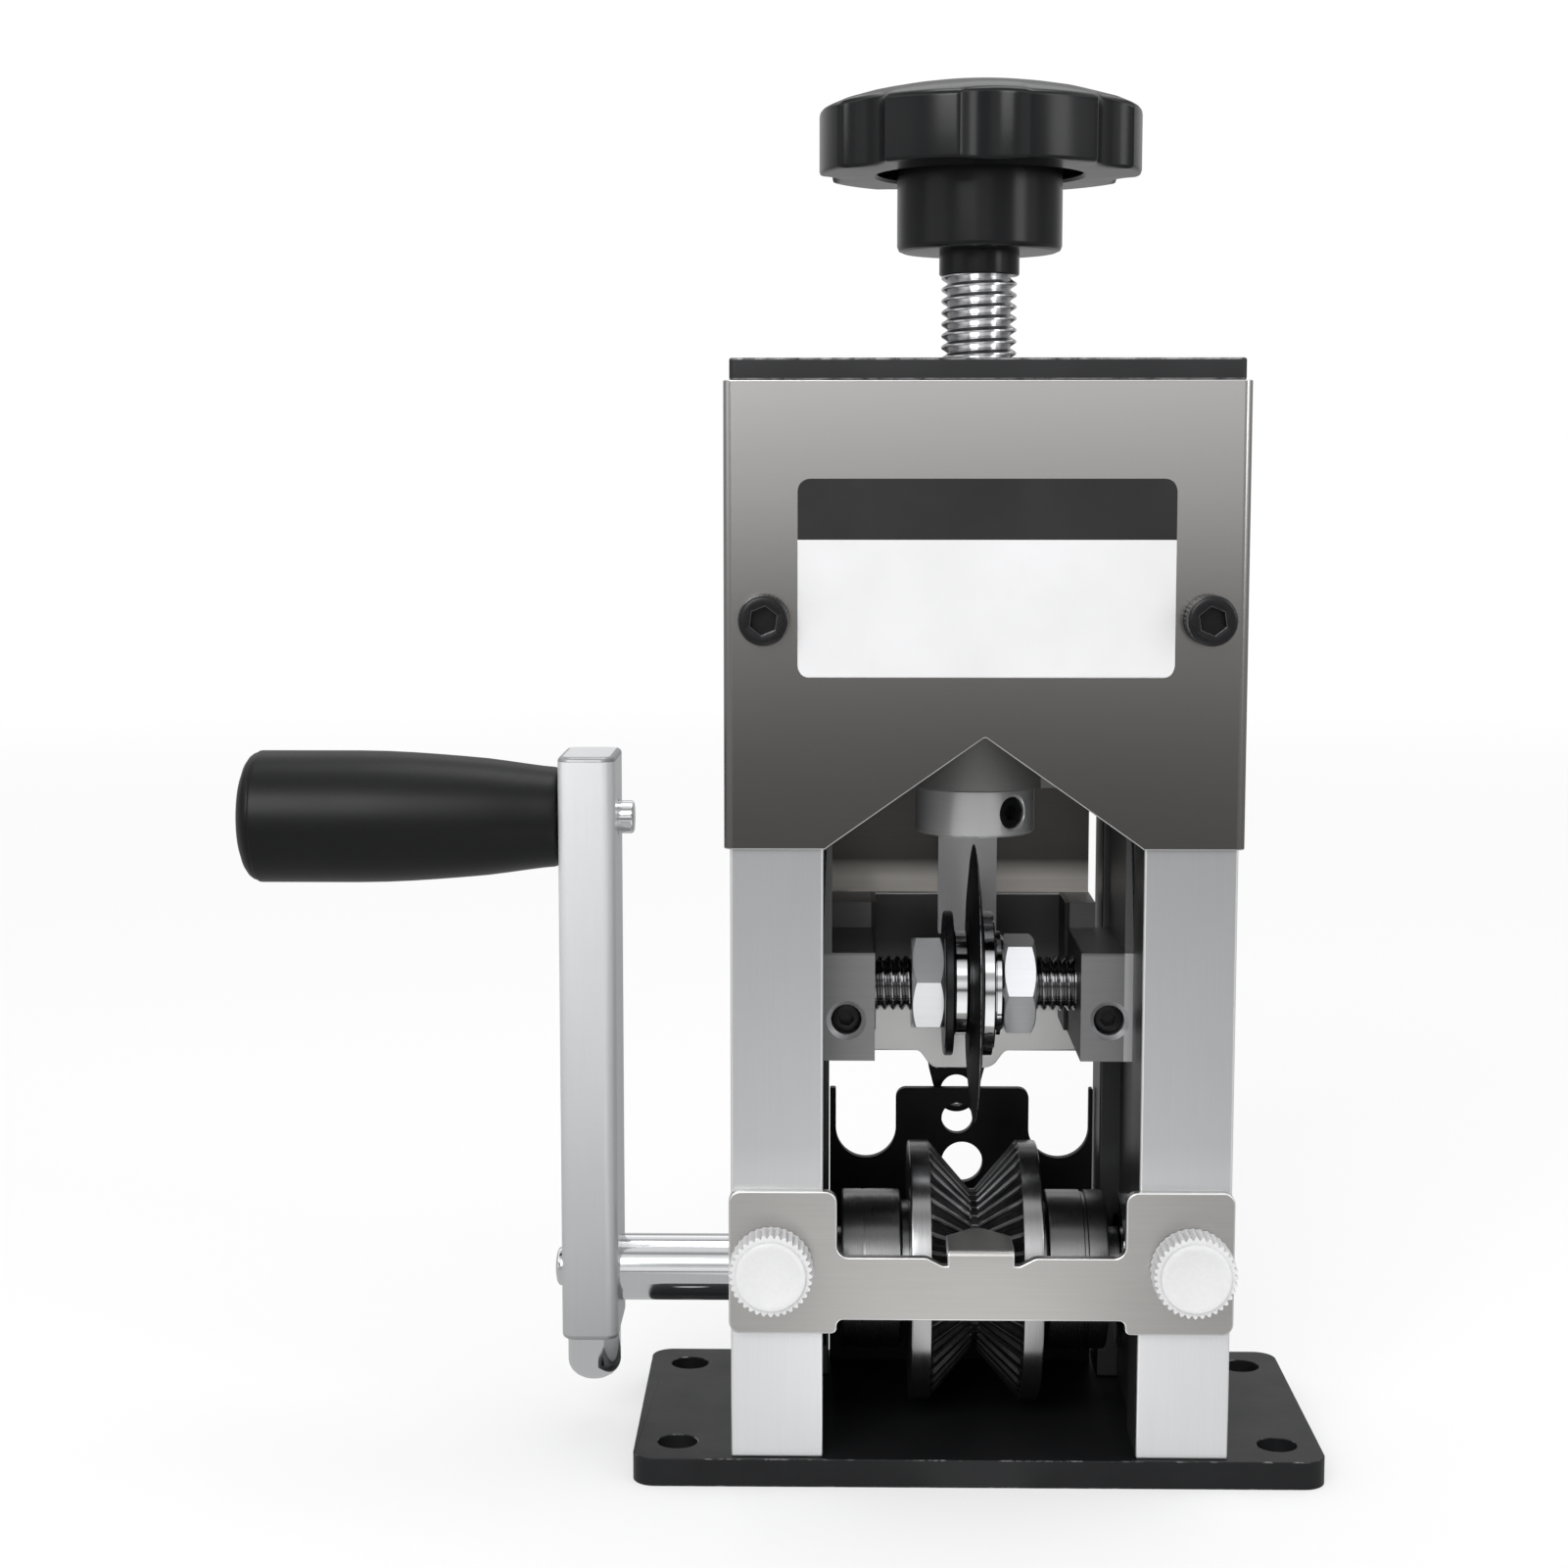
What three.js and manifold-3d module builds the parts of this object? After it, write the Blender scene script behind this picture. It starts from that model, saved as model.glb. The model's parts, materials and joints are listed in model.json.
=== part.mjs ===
// Bench wire stripper turned by a hand crank. Millimetres: X to the right, Y to the back, Z up.
// The origin is the centre of the base's underside. The feed shaft and the blade rod run along X at Y = 0.
import * as THREE from "three";
import { mergeVertices } from "three/addons/utils/BufferGeometryUtils.js";
import Module from "manifold-3d";

const wasm = await Module();
wasm.setup();

// Clearances
const FIT = 0.08; // round piece in the bore that holds it
const RUN = 0.1; // piece that turns beside or inside another
const SLIDE = 0.35; // piece that slides beside another
const BREAK = 0.4; // broken edge

// Base
const BASE_W = 120;
const BASE_D = 60;
const BASE_T = 5;
const BASE_CORNER = 4;
const BOLT_R = 3.5;
const BOLT_INSET_X = 7.5;
const BOLT_INSET_Y = 8.6;

// Uprights and top plate
const WALL_IN = 27; // inner wall of each upright
const WALL_T = 15.8;
const FRONT = 29; // front faces of the uprights, ahead of the shaft
const REAR = 28.5;
const UPRIGHT_H = 184.3;
const GROOVE_DEPTH = 1.2;
const RAIL_PROUD_LEFT = 1;
const RAIL_PROUD_RIGHT = 2.6;
const TOP_T = 3.7;
const FIX_R = 2.5; // screws that hold the uprights to both plates
const FIX_HEAD_R = 4.8;
const FIX_LENGTH = 14;
const FIX_Y = 19;

// Feed shaft, roller and bearings
const SHAFT_Z = 30.2;
const SHAFT_R = 6;
const SHAFT_END = 40; // right end
const BEARING_R = 12;
const BEARING_W = 6;
const BEARING_WALL = 1.9;
const BEARING_FLANGE_R = 14;
const BEARING_FLANGE_T = 1.8;
const SHAFT_HOLE_R = 8;
const ROLLER_R = 23.2;
const VALLEY_R = 14.4;
const ROLLER_HALF = 11.6;
const RIM_IN = 8.1; // inner edge of each plain rim
const VALLEY_HALF = 0.5;
const TEETH = 26;
const TOOTH = 0.45;
const SLEEVE_R = 14.3;
const SLEEVE_END = 23.8;
const SLEEVE_NECK_R = 7.6;
const KEY_W = 4;
const KEY_L = 18;
const KEY_PROUD = 1.5;

// Crank
const ARM_OUT = 73.95; // outer face, left of the middle
const ARM_T = 10.15;
const ARM_D = 20;
const ARM_BELOW = 10.9;
const ARM_ABOVE = 13.1;
const ARM_CORNER = 2.4;
const CRANK_R = 82.7;
const GRIP_LENGTH = 57.8;
const GRIP_END_R = 11.85;
const GRIP_MID_R = 10.85;
const GRIP_NECK_R = 8.9;
const GRIP_CAP = 3.2;
const AXLE_R = 2.95;
const AXLE_PROUD = 2.8;
const AXLE_DEPTH = 46;
const BUTTON_R = 3.5;
const BUTTON_T = 1.8;
const BUTTON_SHANK_R = 1.9;
const BUTTON_LENGTH = 12;
const CLAMP_HEAD_R = 4.8;
const CLAMP_HEAD_H = 9.9;
const CLAMP_R = 2.9;

// Front cover and label place
const COVER_T = 1;
const COVER_H = 78.2;
const COVER_RETURN = 16;
const NOTCH_HALF = 26;
const NOTCH_H = 19;
const M5_R = 2.45;
const M5_HEAD_R = 4.25;
const M5_HEAD_H = 5;
const M5_HEX = 4.2;
const M5_LENGTH = 12;
const COVER_SCREW_X = 37;
const COVER_SCREW_DROP = 39.5; // below the tops of the uprights, as is the label's middle
const LABEL_W = 62.8;
const LABEL_H = 33;
const LABEL_T = 0.3;
const LABEL_DROP = 32.7;
const LABEL_CORNER = 2;

// Rear cover and rear guide plate
const REAR_COVER_LEFT = 26;
const REAR_COVER_RIGHT = 23.1;
const REAR_COVER_T = 1.2;
const REAR_COVER_BOTTOM = 93.8;
const SMALL_R = 1.2;
const SMALL_HEAD_R = 1.8;
const SMALL_HEAD_H = 1.2;
const SMALL_LENGTH = 5;
const REAR_GUIDE_T = 1.8;
const REAR_GUIDE_TOP = 58.1;
const REAR_GUIDE_Y = 24.2;
const REAR_TONGUE_HALF = 12.6;
const REAR_NOTCH_W = 11.4;
const REAR_NOTCH_BOTTOM = 44.6;
const REAR_MIDDLE = -0.7; // middle of the tongue, the low hole and the carriage plate's tab
const WIRE_X = -1.65;
const WIRE_HOLE_R = 2.95;
const WIRE_HOLE_Z = 52.3;
const LOW_HOLE_R = 3.9;
const LOW_HOLE_Z = 43.8;
const REAR_FOOT = 4; // behind the plate, on the base
const FOOT_SCREW_X = 16;

// Front guide plate and its thumb screws
const GUIDE_T = 2;
const GUIDE_HALF = 43.1;
const LUG_IN = 24.6;
const LUG_BOTTOM = 27.6;
const LUG_TOP = 52.5;
const BAR_BOTTOM = 30;
const BAR_TOP = 41;
const GUIDE_FILLET = 2;
const TONGUE_HALF = 5.7;
const TONGUE_RISE = 1.3;
const TONGUE_TIP_HALF = 1;
const TONGUE_TIP_Y = 16.5;
const RELIEF_W = 4.1;
const RELIEF_FOOT = 2;
const RELIEF_DEPTH = 1.3;
const GUIDE_TRAVEL = 2;
const THUMB_X = 35.8;
const THUMB_Z = 39.4;
const THUMB_R = 7.2;
const THUMB_H = 6.8;
const THUMB_DISH_R = 5.8;
const THUMB_STUD_R = 2;
const THUMB_LENGTH = 13;
const THUMB_TEETH = 24;

// Carriage
const ROD_Z = 82.9;
const JAW_IN = 18;
const JAW_HALF_Y = 14.2;
const JAW_ABOVE = 7.9;
const JAW_BELOW = 11.3;
const LEG_T = 2.3;
const BRACKET_IN = 17.4;
const BRACKET_T = 5.6;
const BRACKET_ABOVE = 12.6;
const CROSS_BOTTOM = 119.3;
const CROSS_H = 16;
const CROSS_HALF_Y = 9;
const JAW_SCREW_X = 23;
const JAW_SCREW_BELOW = 4.1;
const JAW_SCREW_R = 2.6;
const JAW_SCREW_LENGTH = 7;
const JAW_SCREW_SUNK = 1.4;
const CARRIAGE_PLATE_T = 1.6;
const CARRIAGE_PLATE_Y = 26.3;
const CARRIAGE_PLATE_TOP = 95.3;
const CARRIAGE_PLATE_BOTTOM = 65;
const CARRIAGE_SCREW_BELOW = 7.4;
const TAB_HALF = 8;
const TAB_TIP_HALF = 5.6;
const TAB_H = 3.4;
const STRIP_HALF = 5.5;
const STRIP_T = 0.9;
const STRIP_BOTTOM = 87.6;
const EYE_Z = 56.9;
const EYE_R = 4.2;
const EYE_HOLE_R = 3;
const SHOE_HALF = 5.4;
const SHOE_TOP = 72;
const SHOE_T = 1.9;

// Blade and what holds it on the rod
const ROD_R = 4.95;
const ROD_ROOT_R = 4.2;
const ROD_PITCH = 1.5;
const ROD_END = 24.6;
const BLADE_R = 25;
const BLADE_HALF = 2.1;
const BLADE_HUB_R = 13.5;
const BUSH_R = 7.8;
const WASHER_R = 13;
const WASHER_LEFT_T = 1.6;
const WASHER_RIGHT_T = 1.1;
const RING_R = 9.4;
const RING_T = 1.7;
const NUT_AF = 16;
const NUT_T = 5.8;
const NUT_TURN_LEFT = 10.6; // corner that faces the front, in degrees above the level
const NUT_TURN_RIGHT = 5;

// Adjusting screw, collar, lead nut and star knob
const SCREW_R = 6.6;
const SCREW_ROOT_R = 5.5;
const SCREW_PITCH = 2;
const THREAD_IN_NUT = 11.3;
const THREAD_PROUD = 15.4;
const JOURNAL_R = 5;
const SHOULDER_R = 8;
const SHOULDER_H = 4;
const COLLAR_R = 10.6;
const COLLAR_H = 8.4;
const GRUB_R = 2.75;
const GRUB_TURN = 36.7;
const GRUB_SUNK = 0.7;
const LEAD_NUT_R = 11;
const LEAD_NUT_H = 13;
const NECK_R = 7;
const NECK_H = 4;
const STUB_H = 16;
const HUB_R = 14.4;
const KNOB_R = 28;
const HUB_H = 13.1;
const KNOB_RIM_H = 11.4;
const KNOB_DOME_H = 4.4;
const KNOB_LOBES = 7;
const KNOB_FIRST = 255; // direction of the first scallop, in degrees
const SCALLOP_DEPTH = 2.8;
const SCALLOP_R = 8.7;
const KNOB_RECESS_R = 18;
const KNOB_RECESS_H = 6;

// Segments round a circle
const FINE = 32;
const ROUND = 20;
const SMALL = 12;
const THREAD_STEPS = 12;

// Places that follow from the sizes above
const WALL_OUT = WALL_IN + WALL_T;
const UPRIGHT_TOP = BASE_T + UPRIGHT_H;
const GROOVE_X = WALL_IN + GROOVE_DEPTH;
const GROOVE_HALF = JAW_HALF_Y + SLIDE;
const RAIL_LEFT = WALL_IN - RAIL_PROUD_LEFT;
const RAIL_RIGHT = WALL_IN - RAIL_PROUD_RIGHT;
const ARM_IN = ARM_OUT - ARM_T;
const GRIP_Z = SHAFT_Z + CRANK_R;
const COVER_FRONT = FRONT + COVER_T;
const COVER_BOTTOM = UPRIGHT_TOP - COVER_H;
const COVER_SCREW_Z = UPRIGHT_TOP - COVER_SCREW_DROP;
const LABEL_Z = UPRIGHT_TOP - LABEL_DROP;
const LEG_OUT = GROOVE_X - SLIDE;
const LEG_IN = LEG_OUT - LEG_T;
const JAW_TOP = ROD_Z + JAW_ABOVE;
const JAW_BOTTOM = ROD_Z - JAW_BELOW;
const BRACKET_OUT = BRACKET_IN + BRACKET_T;
const BRACKET_X = BRACKET_IN + BRACKET_T / 2;
const CROSS_TOP = CROSS_BOTTOM + CROSS_H;
const REAR_GUIDE_BACK = REAR_GUIDE_Y + REAR_GUIDE_T;
const STRIP_Y = CARRIAGE_PLATE_Y - STRIP_T;
const CARRIAGE_PLATE_BACK = CARRIAGE_PLATE_Y + CARRIAGE_PLATE_T;
const HUB_HALF = BLADE_HALF + RUN;
const FLANGE_X = GROOVE_X - BEARING_FLANGE_T;
const THREAD_BOTTOM = UPRIGHT_TOP - THREAD_IN_NUT;
const THREAD_TOP = UPRIGHT_TOP + TOP_T + THREAD_PROUD;
const KNOB_BOTTOM = THREAD_TOP + NECK_H + HUB_H;
const KNOB_EDGE = KNOB_BOTTOM + KNOB_RIM_H;
const KNOB_TOP = KNOB_EDGE + KNOB_DOME_H;

const X = new THREE.Vector3(1, 0, 0);
const Y = new THREE.Vector3(0, 1, 0);
const Z = new THREE.Vector3(0, 0, 1);
const minus = (v) => v.clone().negate();
const basis = (a, b, c) => new THREE.Matrix4().makeBasis(a, b, c);

// Ways that a piece drawn along +Z can face.
const UP = basis(X, Y, Z);
const DOWN = basis(X, minus(Y), minus(Z));
const FORWARD = basis(X, Z, minus(Y));
const BACK = basis(minus(X), Z, Y);
const RIGHT = basis(Y, Z, X);
const LEFT = basis(minus(Y), Z, minus(X));

// A closed solid from a geometry, with its faces turned outwards.
function solid(geometry) {
  const loose = geometry.index ? geometry.toNonIndexed() : geometry;
  const bare = new THREE.BufferGeometry().setAttribute(
    "position",
    loose.getAttribute("position"),
  );
  const merged = mergeVertices(bare, 1e-4);
  const p = merged.getAttribute("position").array;
  const all = merged.index.array;
  const tris = [];
  let volume = 0;
  for (let i = 0; i < all.length; i += 3) {
    const [a, b, c] = [all[i], all[i + 1], all[i + 2]];
    if (a === b || b === c || a === c) continue;
    tris.push(a, b, c);
    const [u, v, w] = [a, b, c].map((k) => new THREE.Vector3().fromArray(p, 3 * k));
    volume += u.dot(v.cross(w));
  }
  if (volume < 0) tris.reverse();
  const triVerts = new Uint32Array(tris);
  const vertProperties = new Float32Array(p);
  return new wasm.Manifold(new wasm.Mesh({ numProp: 3, vertProperties, triVerts }));
}

const placed = (geometry, facing, at) =>
  solid(geometry.applyMatrix4(facing).translate(at[0], at[1], at[2]));

// A block between two opposite corners, given in any order.
function box(x0, x1, y0, y1, z0, z1) {
  const size = [Math.abs(x1 - x0), Math.abs(y1 - y0), Math.abs(z1 - z0)];
  const at = [(x0 + x1) / 2, (y0 + y1) / 2, (z0 + z1) / 2];
  return placed(new THREE.BoxGeometry(...size), UP, at);
}

// A turned piece: points of [height, radius] along the facing.
function turned(facing, at, points, segments = ROUND) {
  const profile = points.map(([h, r]) => new THREE.Vector2(r, h));
  const geometry = new THREE.LatheGeometry(profile, segments).rotateX(Math.PI / 2);
  return placed(geometry, facing, at);
}

// A round bar from h0 to h1 with broken ends.
function bar(facing, at, h0, h1, r, segments = ROUND, edge = 0) {
  const points = [
    [h0, 0],
    [h0, r - edge],
    [h0 + edge, r],
    [h1 - edge, r],
    [h1, r - edge],
    [h1, 0],
  ];
  return turned(facing, at, points, segments);
}

const ring = (facing, at, h0, h1, outer, inner, segments = ROUND, edge = 0) =>
  bar(facing, at, h0, h1, outer, segments, edge).subtract(
    bar(facing, at, h0 - 1, h1 + 1, inner, segments),
  );

// A flat outline raised by a thickness along the facing, with a broken edge.
function slab(facing, at, shape, thickness, edge = 0, steps = 1) {
  const geometry = new THREE.ExtrudeGeometry(shape, {
    depth: thickness - 2 * edge,
    curveSegments: 3,
    bevelEnabled: edge > 0,
    bevelThickness: edge,
    bevelSize: edge,
    bevelOffset: -edge,
    bevelSegments: steps,
  }).translate(0, 0, edge);
  return placed(geometry, facing, at);
}

// An outline through corners of [x, y, radius].
function outline(corners) {
  const shape = new THREE.Shape();
  const n = corners.length;
  corners.forEach(([x, y, r = 0], i) => {
    const here = new THREE.Vector2(x, y);
    const [before, after] = [corners[(i + n - 1) % n], corners[(i + 1) % n]].map(([a, b]) =>
      new THREE.Vector2(a, b).sub(here).setLength(r).add(here),
    );
    if (i === 0) shape.moveTo(before.x, before.y);
    else shape.lineTo(before.x, before.y);
    if (r > 0) shape.quadraticCurveTo(x, y, after.x, after.y);
  });
  shape.closePath();
  return shape;
}

const rectangle = (x0, x1, y0, y1, r = 0) =>
  outline([
    [x0, y0, r],
    [x1, y0, r],
    [x1, y1, r],
    [x0, y1, r],
  ]);

function hexagon(acrossFlats, turn = 0) {
  const corners = Array.from({ length: 6 }, (_, i) => {
    const a = (i * Math.PI) / 3 + turn;
    const r = acrossFlats / Math.sqrt(3);
    return [r * Math.cos(a), r * Math.sin(a)];
  });
  return outline(corners);
}

// A ribbed turned piece: rows of [height, radius, rib height].
function ribbed(facing, at, rows, ribs) {
  const n = 2 * ribs;
  const points = rows.map(([h, r, rib]) =>
    Array.from({ length: n }, (_, i) => {
      const a = (i * 2 * Math.PI) / n;
      const radius = i % 2 ? r - rib : r;
      return new THREE.Vector3(radius * Math.cos(a), radius * Math.sin(a), h);
    }),
  );
  const tris = [];
  const foot = new THREE.Vector3(0, 0, rows[0][0]);
  const head = new THREE.Vector3(0, 0, rows[rows.length - 1][0]);
  for (let i = 0; i < n; i++) {
    const k = (i + 1) % n;
    tris.push(foot, points[0][k], points[0][i]);
    for (let j = 0; j + 1 < rows.length; j++) {
      const [a, b, c, d] = [points[j][i], points[j][k], points[j + 1][k], points[j + 1][i]];
      tris.push(a, b, c, a, c, d);
    }
    tris.push(head, points[rows.length - 1][i], points[rows.length - 1][k]);
  }
  return placed(new THREE.BufferGeometry().setFromPoints(tris), facing, at);
}

// A right-hand thread from h0 to h1. Each turn has three rows: a sharp root and a flat crest.
function thread(facing, at, h0, h1, crest, root, pitch, segments) {
  const rows = [];
  for (let h = h0 - 2 * pitch; h < h1 + 2 * pitch; h += pitch)
    rows.push([h, root], [h + pitch * 0.45, crest], [h + pitch * 0.6, crest]);
  const last = rows.length - 1;
  const point = (j, i) => {
    if (i === segments) return point(j + 3, 0);
    const a = (i * 2 * Math.PI) / segments;
    const [h, r] = rows[j];
    return new THREE.Vector3(r * Math.cos(a), r * Math.sin(a), h + (pitch * i) / segments);
  };
  const tris = [];
  for (let i = 0; i < segments; i++)
    for (let j = 0; j < (i === segments - 1 ? last - 3 : last); j++)
      tris.push(
        ...[point(j, i), point(j, i + 1), point(j + 1, i + 1)],
        ...[point(j, i), point(j + 1, i + 1), point(j + 1, i)],
      );
  const round = (j) => Array.from({ length: segments }, (_, i) => point(j, i));
  const low = new THREE.Vector3(0, 0, rows[0][0] - pitch);
  const lower = [...[3, 2, 1].map((j) => point(j, 0)), ...round(0)];
  lower.forEach((p, i) => tris.push(low, lower[(i + 1) % lower.length], p));
  const high = new THREE.Vector3(0, 0, rows[last][0] + 2 * pitch);
  const upper = [...round(last), ...[1, 2, 3].map((j) => point(last - j, segments - 1))];
  upper.forEach((p, i) => tris.push(high, p, upper[(i + 1) % upper.length]));
  const long = placed(new THREE.BufferGeometry().setFromPoints(tris), facing, at);
  return long.intersect(bar(facing, at, h0, h1, crest + 1, segments));
}

// A round-headed or cylinder-headed screw: its head stands on the plane of at.
function headed(facing, at, { r, length, headR, headH, hex, dome = 0 }, segments = SMALL) {
  const head = [
    [0, r],
    [0, headR],
    [headH - Math.max(dome, BREAK), headR],
    [headH, headR - Math.max(dome, BREAK)],
  ];
  const points = [[-length, 0], [-length, r], ...head, [headH, 0]];
  const screw = turned(facing, at, points, segments);
  if (!hex) return screw;
  const socket = slab(UP, [0, 0, 0], hexagon(hex), headH);
  return screw.subtract(faced(socket, facing, at, headH * 0.4));
}

// A solid drawn along +Z, moved along it and then turned and placed.
function faced(piece, facing, at, shift = 0) {
  const m = new THREE.Matrix4()
    .makeTranslation(at[0], at[1], at[2])
    .multiply(facing)
    .multiply(new THREE.Matrix4().makeTranslation(0, 0, shift));
  return piece.transform(m.elements);
}

// A screw without a head, level with the plane of at, with a hexagon socket.
function headless(facing, at, r, length, hex) {
  const body = bar(UP, [0, 0, 0], -length, 0, r, SMALL, BREAK);
  const socket = slab(UP, [0, 0, -length * 0.45], hexagon(hex), length);
  return faced(body.subtract(socket), facing, at);
}

const COLOURS = {
  black: [0x2b2c2e, 0.3, 0.55],
  alloy: [0xb9bbbd, 0.8, 0.45],
  steel: [0xa7a29c, 0.9, 0.35],
  bright: [0xd5d7da, 1, 0.18],
  dark: [0x3a3836, 0.8, 0.4],
  plastic: [0x1b1c1e, 0, 0.4],
  white: [0xeeeeec, 0, 0.5],
};
const MATERIALS = Object.fromEntries(
  Object.entries(COLOURS).map(([name, [color, metalness, roughness]]) => [
    name,
    new THREE.MeshStandardMaterial({ color, metalness, roughness }),
  ]),
);

const group = new THREE.Group();
group.name = "wire_stripper";

function part(name, piece, material) {
  const { numProp, vertProperties, triVerts } = piece.getMesh();
  const position = new Float32Array((vertProperties.length / numProp) * 3);
  for (let i = 0; i < position.length / 3; i++)
    position.set(vertProperties.subarray(i * numProp, i * numProp + 3), 3 * i);
  const geometry = new THREE.BufferGeometry()
    .setAttribute("position", new THREE.BufferAttribute(position, 3))
    .setIndex(new THREE.BufferAttribute(triVerts, 1));
  const mesh = new THREE.Mesh(geometry, MATERIALS[material]);
  mesh.name = name;
  group.add(mesh);
}

const SIDES = [
  ["left", -1],
  ["right", 1],
];

function baseAndUprights() {
  const [hw, hd] = [BASE_W / 2, BASE_D / 2];
  const plate = rectangle(-hw, hw, -hd, hd, BASE_CORNER);
  let base = slab(UP, [0, 0, 0], plate, BASE_T, BREAK);
  for (const x of [hw - BOLT_INSET_X, BOLT_INSET_X - hw])
    for (const y of [hd - BOLT_INSET_Y, BOLT_INSET_Y - hd])
      base = base.subtract(bar(UP, [x, y, 0], -1, BASE_T + 1, BOLT_R, ROUND - 4));
  const topOutline = rectangle(-WALL_OUT, WALL_OUT, -FRONT, REAR, 1);
  let top = slab(UP, [0, 0, UPRIGHT_TOP], topOutline, TOP_T);
  top = top.subtract(bar(UP, [0, 0, 0], UPRIGHT_TOP - 1, UPRIGHT_TOP + TOP_T + 1, NECK_R + RUN));
  const middle = (WALL_IN + WALL_OUT) / 2;

  for (const [side, s, rail] of [
    ["left", -1, RAIL_LEFT],
    ["right", 1, RAIL_RIGHT],
  ]) {
    const section = rectangle(...[s * WALL_IN, s * WALL_OUT].sort((a, b) => a - b), -FRONT, REAR, BREAK);
    let upright = slab(UP, [0, 0, BASE_T], section, UPRIGHT_H);
    upright = upright.subtract(
      box(s * (WALL_IN - 1), s * GROOVE_X, -GROOVE_HALF, GROOVE_HALF, 0, UPRIGHT_TOP + 1),
    );
    upright = upright.add(box(s * rail, s * (WALL_IN + 1), GROOVE_HALF, REAR, BASE_T, UPRIGHT_TOP));
    const axis = [0, 0, SHAFT_Z];
    const across = s > 0 ? RIGHT : LEFT;
    const seat = bar(across, axis, WALL_IN - 5, GROOVE_X + BEARING_W + FIT, BEARING_R + FIT, ROUND);
    const through = bar(across, axis, WALL_IN - 5, WALL_OUT + 1, SHAFT_HOLE_R);
    const screwAt = [s * COVER_SCREW_X, -FRONT, COVER_SCREW_Z];
    const studAt = [s * THUMB_X, -FRONT, THUMB_Z];
    upright = upright
      .subtract(seat)
      .subtract(through)
      .subtract(bar(FORWARD, screwAt, -M5_LENGTH - 1, 1, M5_R + FIT))
      .subtract(bar(FORWARD, studAt, -THUMB_LENGTH - 1, 1, THUMB_STUD_R + FIT, SMALL));
    for (const [end, facing, z, thick] of [
      ["base", DOWN, 0, BASE_T],
      ["top", UP, UPRIGHT_TOP + TOP_T, TOP_T],
    ]) {
      const at = [s * middle, end === "base" ? FIX_Y : 0, z];
      const sunk = [
        [-FIX_LENGTH, 0],
        [-FIX_LENGTH, FIX_R],
        [-(FIX_HEAD_R - FIX_R) - BREAK, FIX_R],
        [-BREAK, FIX_HEAD_R],
        [-BREAK, 0],
      ];
      const screw = turned(facing, at, sunk, SMALL);
      const cutter = [
        [-FIX_LENGTH - 1, 0],
        [-FIX_LENGTH - 1, FIX_R + FIT],
        [-(FIX_HEAD_R - FIX_R) - BREAK, FIX_R + FIT],
        [1, FIX_HEAD_R + FIT + BREAK + 1],
        [1, 0],
      ];
      const hole = turned(facing, at, cutter, SMALL);
      const socket = slab(UP, [0, 0, -thick * 0.7], hexagon(FIX_R * 1.3), thick);
      part(`${end}_screw_${side}`, screw.subtract(faced(socket, facing, at)), "dark");
      upright = upright.subtract(hole);
      if (end === "base") base = base.subtract(hole);
      else top = top.subtract(hole);
    }
    part(`${side}_upright`, upright, "alloy");
  }

  for (const [side, s] of SIDES) {
    const foot = [s * FOOT_SCREW_X, REAR_GUIDE_BACK + REAR_FOOT / 2, BASE_T];
    base = base.subtract(bar(UP, foot, -SMALL_LENGTH + 1, 1, SMALL_R + FIT, SMALL));
    const hung = [s * FOOT_SCREW_X, REAR, UPRIGHT_TOP + TOP_T / 2];
    top = top.subtract(bar(BACK, hung, -SMALL_LENGTH, 1, SMALL_R + FIT, SMALL));
  }
  part("base_plate", base, "black");
  part("top_plate", top, "black");

  const nutTop = UPRIGHT_TOP;
  const nut = ring(UP, [0, 0, 0], nutTop - LEAD_NUT_H, nutTop, LEAD_NUT_R, SCREW_R + SLIDE);
  part("lead_nut", nut, "dark");
}

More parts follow.
